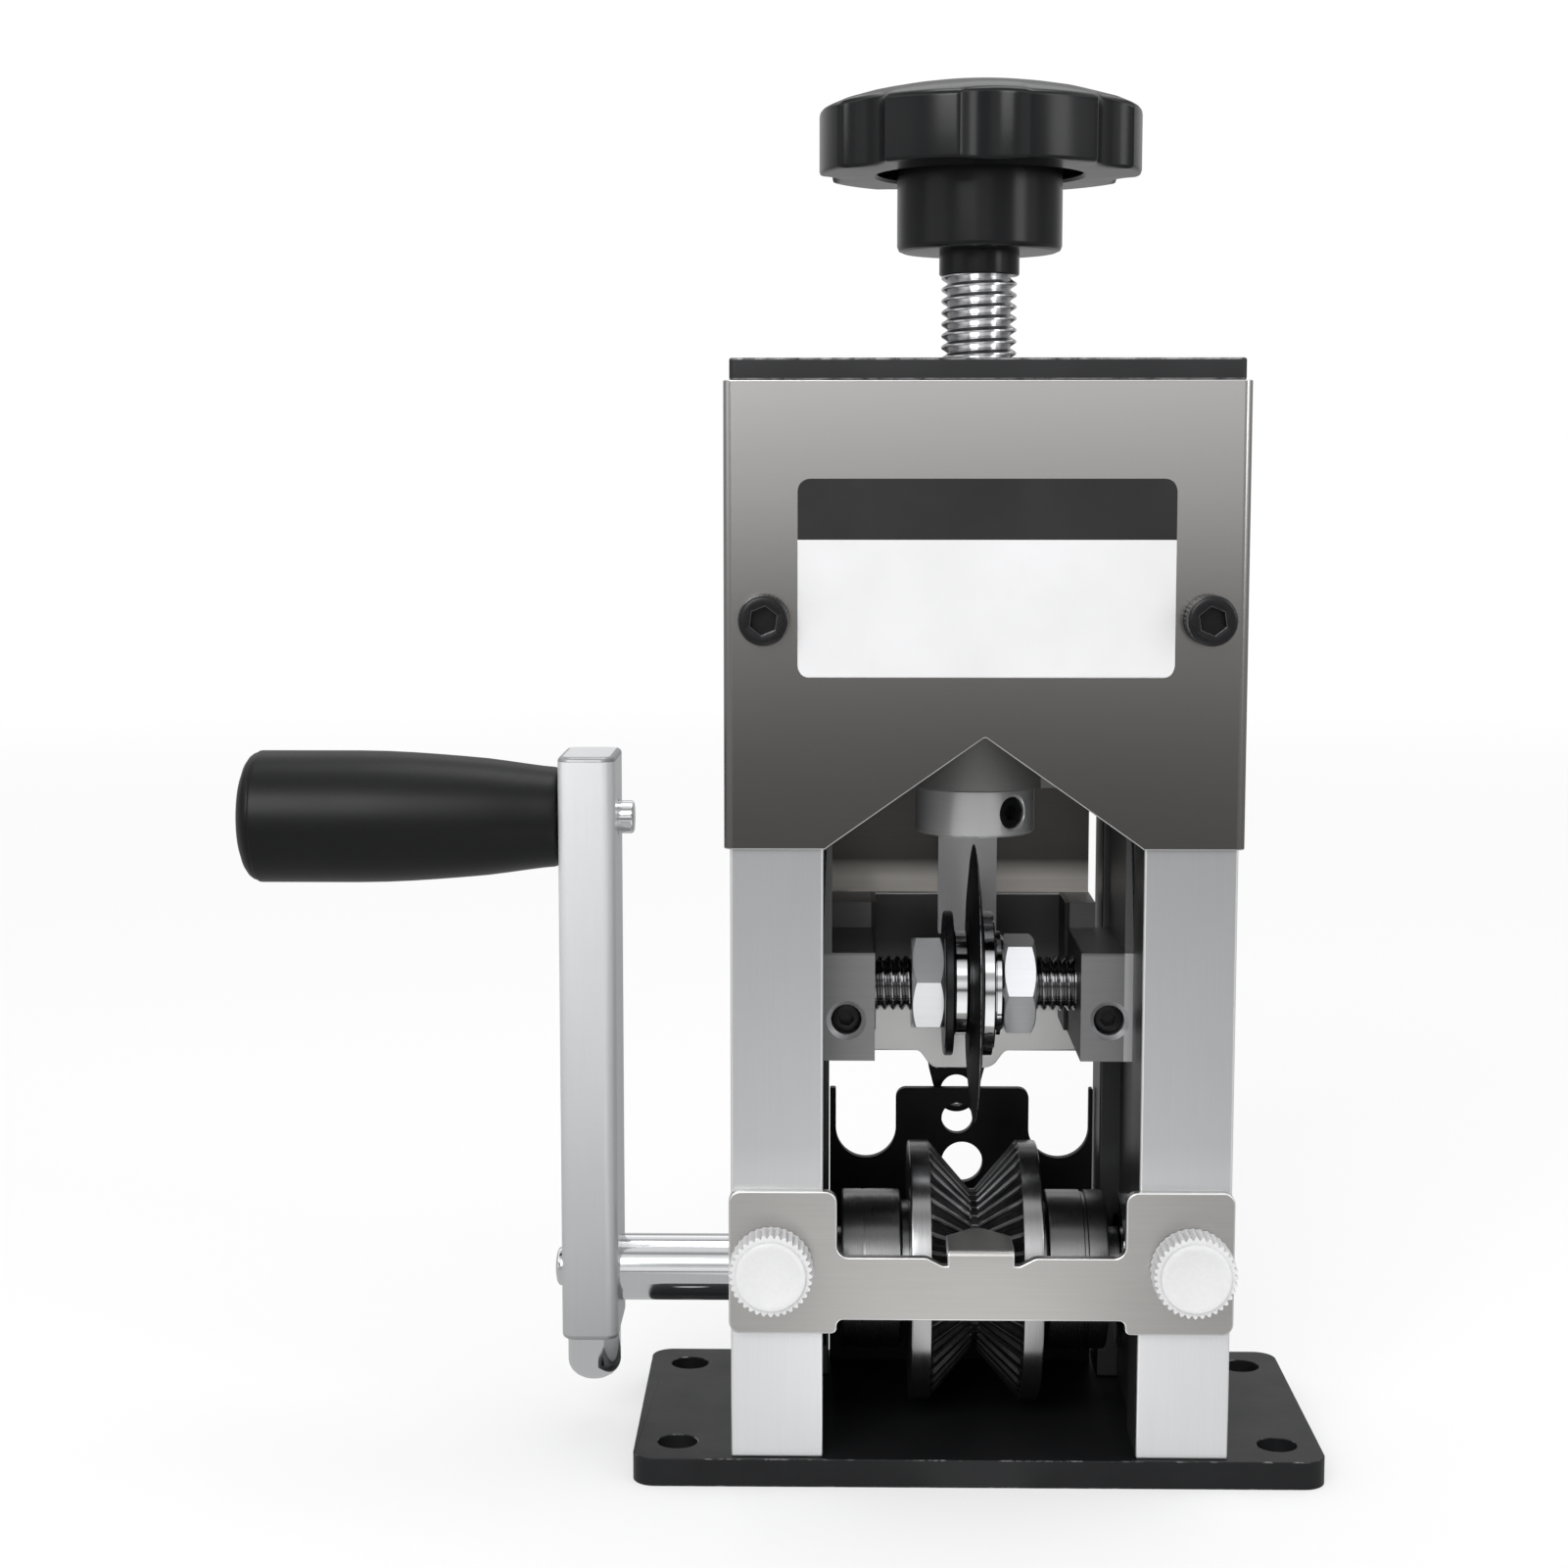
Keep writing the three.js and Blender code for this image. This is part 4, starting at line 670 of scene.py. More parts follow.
# Name, colour, roughness, metal, grain, its depth, tone, clouds, edge colour, edge reach, shine,
# peel.
FINISHES = (
    Finish("coated_steel", (0.01, 0.0103, 0.0113), 0.4, 0, CAST, 0, 0.14, 70, 0.3, 0.34, 0.25, 12),
    Finish("coated_top", (0.016, 0.0163, 0.0175), 0.4, 0, CAST, 0, 0.14, 70, 0.3, 0.5, 0.35, 12),
    Finish("guide_black", (0.008, 0.008, 0.009), 0.4, 0, CAST, 0, 0.2, 90, 0.2, 0.5, 0.15, 8),
    # Uprights: painted shade, darker towards the top, and painted shade on their inside faces.
    Finish("anodised", (0.9, 0.91, 0.925), 0.4, 0.8, ALONG_Z, 2, 0.03, 25,
           (0.9, 0.9, 0.91), 0.85, painted_shade=((15, 1), (35, 0.97), (60, 0.64), (110, 0.52)),
           inner=(42.5, -28.4, 28.46, 0.1)),
    Finish("brushed_plate", (0.53, 0.522, 0.505), 0.34, 1, ALONG_X, 3, 0.06, 40,
           (0.92, 0.92, 0.91), 0.9),
    # Front cover: painted shade, darker towards the bottom.
    Finish("cover_sheet", (0.62, 0.605, 0.585), 0.2, 1, ALONG_X, 0.5, 0.02, 20, 0.72, 0.85,
           painted_shade=((112, 0.36), (130, 0.45), (150, 0.56), (170, 0.84), (188, 1))),
    # Rear cover: painted shade above a lighter band at its foot, on its front side only.
    Finish("rear_sheet", (0.95, 0.89, 0.83), 0.4, 0.6, ALONG_X, 3, 0.08, 40,
           (0.7, 0.68, 0.65), 0.8, painted_shade=((98, 1), (101.5, 0.13), (150, 0.33)), painted_shade_to=29.2),
    # Jaws: painted shade above the jaws' tops and on their inside faces; the light edge colour also
    # paints the highlight round the screw countersinks.
    Finish("jaw_steel", (0.28, 0.28, 0.284), 0.42, 0.85, ALONG_X, 4, 0.07, 60,
           (0.66, 0.66, 0.67), 0.8, painted_shade=((90.2, 0.92), (90.7, 0.5)), inner=(18.3, -14, 30, 0.2)),
    Finish("head_steel", (0.19, 0.188, 0.185), 0.42, 0.5, ALONG_X, 4, 0.07, 60,
           (0.5, 0.5, 0.51), 0.72),
    Finish("collar_steel", (0.66, 0.66, 0.665), 0.26, 0.6, ROUND_Z, 1, 0.05, 60, 0.95, 0.95),
    # Carriage plate: painted shade, dark above its lower edge, on its front side only.
    Finish("carriage_sheet", (0.98, 0.98, 0.96), 0.34, 0.75, ALONG_Z, 3, 0.04, 50, 0.9, 0.8,
           painted_shade=((72.5, 1), (76, 0.2), (86, 0.08)), painted_shade_to=27.5),
    Finish("strip_steel", (0.96, 0.955, 0.98), 0.36, 0.2, ALONG_Z, 2, 0.04, 50,
           (0.7, 0.7, 0.71), 0.7),
    Finish("chrome", (0.78, 0.79, 0.8), 0.08, 1, ROUND_X, 0.5, 0.03, 40),
    # Crank arm: painted shade darker towards the bottom, and a dark edge colour that paints dark
    # reflections along its rounded edges.
    Finish("arm_chrome", (0.92, 0.93, 0.945), 0.3, 0.5, ALONG_Z, 1, 0.03, 30,
           (0.34, 0.345, 0.35), 0.95, painted_shade=((20, 0.48), (120, 1))),
    Finish("screw_steel", (0.66, 0.66, 0.67), 0.15, 1, ROUND_Z, 1, 0.05, 60),
    Finish("rod_steel", (0.3, 0.3, 0.304), 0.12, 1, ROUND_X, 0.5, 0.06, 80),
    Finish("nut_steel", (0.8, 0.81, 0.83), 0.22, 0.6, ALONG_X, 2, 0.05, 60, (0.3, 0.31, 0.33), 0.8),
    Finish("sleeve_steel", (0.22, 0.22, 0.222), 0.28, 1, ROUND_X, 0.5, 0.04, 60, 0.5, 0.8),
    Finish("oxide", (0.007, 0.007, 0.008), 0.3, 0, CAST, 2, 0.2, 120,
           (0.16, 0.16, 0.165), 0.55, 0.3),
    Finish("blade_black", (0.006, 0.006, 0.007), 0.5, 0, ROUND_X, 0.5, 0.08, 70, 0.36, 0.5, 0.03),
    Finish("grip_plastic", (0.005, 0.0052, 0.0056), 0.38, 0, CAST, 4, 0.1, 60, shine=0.24),
    Finish("knob_plastic", (0.006, 0.0063, 0.007), 0.22, 0, CAST, 0.6, 0.06, 70,
           (0.03, 0.03, 0.032), 0.5, 0.3),
    Finish("white_plastic", (0.66, 0.66, 0.665), 0.42, 0, CAST, 3, 0.05, 80),
)


@dataclass
class Workshop:
    """Puts finished pieces on their bodies and dresses the frame's own nodes."""

    frame: dict
    finishes: dict[str, bpy.types.Material]
    count: int = 0

    def piece(self, form: Form, node: str, finish: str, angle: float = CRISP) -> None:
        """Make the piece that stands for a node.

        Args:
            form: its shape, which is used up.
            node: the node that it replaces, which gives its body.
            finish: its material's name.
            angle: edges that turn by more than this many degrees stay crisp.
        """
        item = form.finished(f"made_{node}", angle)
        item.data.materials.append(self.finishes[finish])
        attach(item, self.body(node))
        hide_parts(node)
        self.count += 1
        log.info("%s: %d faces, %s", item.name, len(item.data.polygons), finish)

    def body(self, node: str) -> str:
        """Return the name of the body that carries a node."""
        bodies = self.frame["record"]["behaviour"]["bodies"]
        return next(name for name, nodes in bodies.items() if node in nodes)

    def dress(self, finish: str, *nodes: str) -> None:
        """Give nodes that stay a finish."""
        for node in nodes:
            item = self.frame["nodes"][node]
            if not item.material_slots:
                item.data.materials.append(self.finishes[finish])
            for held in item.material_slots:
                held.material = self.finishes[finish]
            log.info("%s dressed as %s", node, finish)


@dataclass
class BaseAndUprights:
    """Base plate, two uprights and the top plate."""

    base: Triple = (60, 30, 5)
    base_corner: float = 4
    bolt: Triple = (52.5, 21.4, 3.5)
    wall_in: float = 27
    wall_out: float = 42.8
    front: float = 29
    rear: float = 28.5
    top: float = 189.3
    top_t: float = 3.7
    groove_x: float = 28.2
    groove_half: float = 14.55
    rails: Pair = (26, 24.4)  # inner faces of the left and the right rail
    shaft_z: float = 30.2
    seat_r: float = 12.08
    seat_x: float = 34.28
    shaft_hole_r: float = 8
    neck_r: float = 7.1

    def base_plate(self) -> Form:
        """Shape the base with its bolt holes."""
        w, d, t = self.base
        form = plate(rectangle(-w, w, -d, d, self.base_corner), t)
        x, y, r = self.bolt
        for at in ((x, y, 0), (x, -y, 0), (-x, y, 0), (-x, -y, 0)):
            form.cut(rod(-PAST, t + PAST, r).placed(UP, at))
        return form.bevel(0.5, 3)

    def upright(self, s: int) -> Form:
        """Shape one upright with its groove, rail and bearing seat."""
        rail = self.rails[s > 0]
        outline = (
            (self.wall_in, -self.front), (self.wall_out, -self.front), (self.wall_out, self.rear),
            (rail, self.rear), (rail, self.groove_half), (self.groove_x, self.groove_half),
            (self.groove_x, -self.groove_half), (self.wall_in, -self.groove_half),
        )
        form = plate([(s * x, y) for x, y in outline][::s], self.top - self.base[2])
        form.placed(UP, (0, 0, self.base[2]))
        start, axis = self.wall_in - 6, (0, 0, self.shaft_z)
        for end, r in ((self.seat_x, self.seat_r), (self.wall_out + PAST, self.shaft_hole_r)):
            form.cut(rod(start, end, r).placed(OUTWARD[s], axis))
        return form.bevel(0.4, 3)

    def top_plate(self) -> Form:
        """Shape the top plate with the hole for the screw's neck."""
        corners = rectangle(-self.wall_out, self.wall_out, -self.front, self.rear, 1)
        form = plate(corners, self.top_t).placed(UP, (0, 0, self.top))
        form.cut(rod(self.top - PAST, self.top + self.top_t + PAST, self.neck_r))
        return form.bevel(0.35, 3)

    def build(self, shop: Workshop) -> None:
        """Make the pieces."""
        shop.piece(self.base_plate(), "base_plate", "coated_steel")
        for side, s in SIDES:
            shop.piece(self.upright(s), f"{side}_upright", "anodised")
            shop.dress("oxide", f"base_screw_{side}", f"top_screw_{side}")
        shop.piece(self.top_plate(), "top_plate", "coated_top")
        shop.dress("screw_steel", "lead_nut")


@dataclass
class Covers:
    """Front cover with its notch and screws, the blank label and the rear cover."""

    half: float = 42.8
    t: float = 1
    front: float = 29
    foot: float = 111.1
    head: float = 189.3
    fold: float = 16
    notch: Pair = (26, 19)
    screw_x: float = 37
    screw_z: float = 149.8
    screw: Triple = (4.25, 5, 4.2)
    label: Quad = (31.4, 16.5, 0.3, 156.6)
    band: float = 6.4  # from the label's middle up to its dark band
    rear_x: Pair = (-26, 23.1)
    rear_y: float = 28.5
    rear_t: float = 1.2
    rear_z: Pair = (93.8, 193)

    def front_cover(self) -> Form:
        """Fold the sheet round the uprights and cut its notch."""
        outer, inner = self.half + self.t, self.half
        face, back = self.front + self.t, self.fold - self.front
        section = [
            (-outer, -face, 1.6), (outer, -face, 1.6), (outer, back), (inner, back),
            (inner, -self.front, 0.3), (-inner, -self.front, 0.3), (-inner, back), (-outer, back),
        ]
        form = plate(section, self.head - self.foot).placed(UP, (0, 0, self.foot))
        half, high = self.notch
        wide = half + 2
        corners = [(-wide, -1), (wide, -1), (half, 0.6, 0.5), (0, high, 0.4), (-half, 0.6, 0.5)]
        form.cut(plate(corners, 4).placed(FORWARD, (0, PAST - self.front, self.foot)))
        return form.bevel(0.18, 2, 40)

    def cap_screw(self) -> Form:
        """Turn a socket head with fine ribs round it, and its shank."""
        r, h, hexagonal = self.screw
        rib = 0.13
        rows = [
            (0.02, 0), (0.02, r - 0.25), (0.35, r), (0.6, r, rib), (h - 1.1, r, rib), (h - 0.8, r),
            (h - 0.25, r - 0.2), (h - 0.05, r - 0.5), (h, r - 0.8), (h, 0),
        ]
        head = waved(rows, 144, lambda a: 0.5 - 0.5 * cos(36 * a))
        head.cut(hex_pit(hexagonal, 2.6, 30).placed(UP, (0, 0, h)))
        return head.bevel(0.1, 2, 50, h - 0.1)

    def build(self, shop: Workshop) -> None:
        """Make the pieces."""
        shop.piece(self.front_cover(), "front_cover", "cover_sheet")
        face = self.front + self.t
        for side, s in SIDES:
            form = self.cap_screw().turned_by(8 * s).add(rod(-6, 0.5, 2.45))
            form.placed(FORWARD, (s * self.screw_x, -face, self.screw_z))
            shop.piece(form, f"cover_screw_{side}", "oxide")
        w, h, t, z = self.label
        form = plate(rectangle(-w, w, -h, h, 2), t).placed(FORWARD, (0, -face, z))
        shop.piece(form.bevel(0.12, 2), "label_plate", "blank_label")
        form = plate(rectangle(*self.rear_x, *self.rear_z, 1), self.rear_t)
        form.placed(FORWARD, (0, self.rear_y + self.rear_t, 0))
        shop.piece(form.bevel(0.25, 2), "rear_cover", "rear_sheet")
        shop.dress("oxide", "rear_cover_screw_left", "rear_cover_screw_right")


@dataclass
class RearGuide:
    """Black plate behind the roller, with a tongue, two notches and two holes."""

    middle: float = -0.7
    y: float = 24.2
    t: float = 1.8
    halves: Pair = (25.15, 24.75)  # left and right of the middle
    z: Pair = (5, 58.1)
    foot: float = 4  # how far the foot reaches behind the plate
    tongue: float = 12.6
    notch_w: float = 11.4
    notch_foot: float = 44.6
    holes: tuple[Triple, ...] = ((-1.65, 52.3, 2.95), (-0.7, 43.8, 3.9))

    def build(self, shop: Workshop) -> None:
        """Make the plate."""
        back, edge = self.y + self.t, self.tongue + self.notch_w
        r, (low, top) = self.notch_w / 2 - 0.02, self.z
        left, right = (
            [
                (side, low, 0), (side, top, 0.3), (edge, top, 0.3), (edge, self.notch_foot, r),
                (self.tongue, self.notch_foot, r), (self.tongue, top, 1.9),
            ]
            for side in self.halves
        )
        corners = right + [(-x, z, c) for x, z, c in reversed(left)]
        form = plate(corners, self.t).placed(FORWARD, (self.middle, back, 0))
        ends = (self.middle - self.halves[0], self.middle + self.halves[1])
        form.join(block(*ends, self.y, back + self.foot, low, low + self.t))
        for x, z, hole in self.holes:
            form.cut(rod(-self.t - PAST, PAST, hole).placed(BACK, (x, back, z)))
        shop.piece(form.bevel(0.3, 3), "rear_guide_plate", "guide_black")
        shop.dress("oxide", "rear_guide_screw_left", "rear_guide_screw_right")


@dataclass
class FrontGuide:
    """Plate in front of the roller, with a bent pointed tongue and two thumb screws."""

    front: float = 29
    t: float = 2
    half: float = 43.1
    lug_in: float = 24.6
    lug: Pair = (27.6, 52.5)
    bar: Pair = (30, 41)
    fillet: float = 2
    tongue: float = 5.7
    rise: float = 1.3
    tip: Pair = (1, 16.5)
    relief: Triple = (3.6, 0.9, 1.4)
    thumb: Pair = (35.8, 39.4)
    wheel: Triple = (7.2, 6, 6.8)
    stud: Pair = (13, 2)

    def guide(self) -> Form:
        """Shape the plate and bend its tongue back."""
        f, (z0, z1), (low, high) = self.fillet, self.bar, self.lug
        wide, foot, deep = self.relief
        root, top = z1 - deep, z1 + self.rise
        half = [
            (self.lug_in, z0, f / 2), (self.lug_in, low, f / 2), (self.half, low, f),
            (self.half, high, f), (self.lug_in, high, f), (self.lug_in, z1, f),
            (self.tongue + wide, z1, 0.4), (self.tongue + foot, root, 0.3),
        ]
        mirrored = [(-x, z, r) for x, z, r in reversed(half)]
        form = plate(half + mirrored, self.t).placed(FORWARD, (0, -self.front, 0))
        face, (tip_half, tip_y) = self.front + self.t, self.tip
        bend = [
            (-face, root - 4), (-self.front, root - 4), (-self.front, top - self.t, 0.3),
            (-tip_y, top - self.t), (-tip_y, top), (-face, top, 1.3),
        ]
        strip = plate(bend, 2 * self.tongue).placed(RIGHT, (-self.tongue, 0, 0))
        shoulder = 7.5 - self.front
        plan = [
            (-self.tongue, -face - PAST), (self.tongue, -face - PAST), (self.tongue, shoulder),
            (tip_half, -tip_y, 0.5), (-tip_half, -tip_y, 0.5), (-self.tongue, shoulder),
        ]
        strip.clip(plate(plan, 12).placed(UP, (0, 0, root - 5)))
        return form.join(strip).bevel(0.28, 3)

    def thumb_screw(self) -> Form:
        """Turn a knurled wheel with a smooth dished face, and its stud."""
        r, face, h = self.wheel
        rows = [
            (0.02, 0), (0.02, r - 0.5), (0.35, r - 0.1, 0.2), (0.7, r, 0.8), (h - 1.5, r, 0.8),
            (h - 1, r - 0.12, 0.6), (h - 0.9, face), (h - 0.25, face - 0.02),
            (h - 0.05, face - 0.2), (h, face - 0.5), (h - 0.04, face - 1.1),
            (h - 0.3, face - 1.6), (h - 0.35, 0),
        ]
        wheel = waved(rows, 216, lambda a: (0.5 - 0.5 * cos(36 * a)) ** 1.4)
        length, stud_r = self.stud
        return wheel.add(rod(self.t - length, 0.5, stud_r, 0.3, 32))

    def build(self, shop: Workshop) -> None:
        """Make the pieces."""
        shop.piece(self.guide(), "guide_plate", "brushed_plate")
        x, z = self.thumb
        for side, s in SIDES:
            screw = self.thumb_screw().placed(FORWARD, (s * x, -self.front - self.t, z))
            shop.piece(screw, f"thumb_screw_{side}", "white_plastic", 50)


@dataclass
class FeedDrive:
    """Toothed roller, sleeves, shaft, crank arm and grip."""

    z: float = 30.2
    shaft_r: float = 6
    shaft_end: float = 40
    roller_r: float = 23.2
    roller_half: float = 11.6
    rim_in: float = 8.1
    valley_r: float = 14.4
    valley_half: float = 0.5
    teeth: int = 44
    tooth: float = 0.75
    sleeve: Triple = (14.3, 23.8, 7.6)
    sleeve_neck: float = 26.3
    arm_out: float = 73.95
    arm_in: float = 63.8
    arm_half: float = 10
    arm_z: Pair = (19.3, 124.6)
    corner: float = 2.4
    grip_z: float = 112.9
    grip_length: float = 57.8
    axle: Triple = (2.8, 45.6, 2.95)  # inside the arm, outside it, radius
    clamp: Triple = (4.8, 9.9, 2.9)
    button: Triple = (3.5, 1.8, 1.9)

    def roller(self) -> Form:
        """Turn the roller and press narrow grooves into its flanks."""
        end, r, v, b = -self.roller_half, self.roller_r, self.valley_r, 0.4
        near = [
            (end, self.shaft_r + 0.1), (end, r - b), (end + 0.12, r - 0.12), (end + b, r),
            (-self.rim_in - 0.06, r),
        ]
        flank = ((0, 0), (0.04, 0.8), (0.1, 1), (0.5, 1), (0.9, 1), (0.96, 0.8), (1, 0))
        for t, depth in flank:
            h = t * (self.rim_in - self.valley_half) - self.rim_in
            near.append((h, r - t * (r - v), depth * self.tooth))
        pitch = tau / self.teeth

        def place(angle: float) -> float:
            """Return how far round its own pitch an angle is, 0 to 1."""
            return angle % pitch / pitch

        def groove(angle: float) -> float:
            """Return 1 in a groove and 0 on a land."""
            return max(0.0, min(1.0, (0.25 - abs(place(angle) - 0.5)) / 0.1))

        far = [(-h, *rest) for h, *rest in reversed(near)]
        form = waved(near + far, 10 * self.teeth, groove, closed=True)
        # Painted highlight: one wall of each groove gets the mark, which the roller finish paints
        # bright.
        form.mark(
            lambda m: abs(m.z) < self.rim_in and hypot(m.x, m.y) > v - 2
            and 0.1 < place(atan2(m.y, m.x)) < 0.25
        )
        return form.placed(RIGHT, (0, 0, self.z))

    def sleeve_ring(self, s: int) -> Form:
        """Turn the sleeve beside the roller, with its neck."""
        r, end, neck = self.sleeve
        h0, bore = self.roller_half + FIT, self.shaft_r + FIT
        deep = 0.35 if s > 0 else 0.05
        profile = [
            (h0, bore), (h0, r - 2), (h0 + 1.1, r - 2), (h0 + 1.3, r - 0.5), (h0 + 1.6, r - 0.1),
            (h0 + 1.9, r), (end - 4.4, r), (end - 4.2, r - deep), (end - 3.7, r - deep),
            (end - 3.5, r), (end - 0.5, r), (end - 0.1, r - 0.15), (end, r - 0.6), (end, neck),
            (self.sleeve_neck, neck), (self.sleeve_neck, bore),
        ]
        return lathe(profile, closed=True).placed(OUTWARD[s], (0, 0, self.z))

    def arm(self) -> Form:
        """Shape the crank arm with soft edges."""
        z0, z1 = self.arm_z
        corners = rectangle(-self.arm_out, -self.arm_in, -self.arm_half, self.arm_half, self.corner)
        form = plate(corners, z1 - z0).placed(UP, (0, 0, z0)).bevel(0.9, 4, 60)
        hole = rod(self.arm_in - PAST, self.arm_out + PAST, self.axle[2] + FIT)
        return form.cut(hole.placed(LEFT, (0, 0, self.grip_z))).bevel(0.15, 2, 60)

    def grip(self) -> Form:
        """Turn the tapered grip with its end cap."""
        start, end = self.arm_out + 0.35, self.grip_length - 0.35
        blind, bore = self.axle[1] - 0.5, self.axle[2] + 0.1
        profile = [
            (blind, 0), (blind, bore), (0, bore), (0, 3.2), (0, 8.3), (0.25, 8.75), (0.9, 8.95),
            (3, 9.15), (6, 9.55), (9.5, 10.05), (13, 10.5), (17.5, 10.9), (22, 11.25),
            (26.5, 11.55), (31, 11.76), (36, 11.85), (end - 4.1, 11.85), (end - 3.6, 11.78),
            (end - 3.35, 11.5), (end - 3.1, 11.5), (end - 2.7, 11.35), (end - 2.1, 10.9),
            (end - 1.4, 9.9), (end - 0.7, 8), (end - 0.2, 5.2), (end, 2.2), (end, 0),
        ]
        form = lathe([(start + h, r) for h, r in profile], 112)
        return form.placed(LEFT, (0, 0, self.grip_z))

    def build(self, shop: Workshop) -> None:
        """Make the pieces."""
        shop.piece(self.roller(), "feed_roller", "feed_roller_steel", 24)
        for side, s in SIDES:
            shop.piece(self.sleeve_ring(s), f"sleeve_{side}", "sleeve_steel")
            shop.dress("chrome", f"bearing_outer_{side}", f"bearing_inner_{side}")
        shop.dress("rod_steel", "roller_key")
        r, h, stem = self.button
        shaft = rod(h + 0.1 - self.arm_out, self.shaft_end, self.shaft_r, 0.5)
        profile = [
            (-2, 0), (-2, stem), (0, stem), (0, r - 0.15), (0.15, r), (0.9, r), (1.25, r - 0.2),
            (1.55, r - 0.8), (1.75, r - 1.9), (h, 0),
        ]
        dome = lathe(profile, 64).placed(LEFT, (-self.arm_out, 0, self.z))
        r, h, stem = self.clamp
        profile = [
            (-2, 0), (-2, stem), (0, stem), (0, r - 0.4), (0.15, r - 0.12), (0.4, r), (h - 3.4, r),
            (h - 2.6, r * 0.965), (h - 1.8, r * 0.88), (h - 1, r * 0.72), (h - 0.4, r * 0.5),
            (h - 0.1, r * 0.26), (h, 0),
        ]
        middle = (self.arm_in + self.arm_out) / 2
        screw = lathe(profile, 64).placed(DOWN, (-middle, 0, self.arm_z[0]))
        inside, outside, r = self.axle
        axle = rod(self.arm_in - inside, self.arm_out + outside, r, 0.5)
        shop.piece(shaft.placed(RIGHT, (0, 0, self.z)), "drive_shaft", "chrome")
        shop.piece(self.arm(), "crank_arm", "arm_chrome")
        shop.piece(dome, "end_button", "chrome")
        shop.piece(screw, "clamp_screw", "chrome")
        shop.piece(axle.placed(LEFT, (0, 0, self.grip_z)), "grip_axle", "chrome")
        shop.piece(self.grip(), "grip", "grip_plastic")


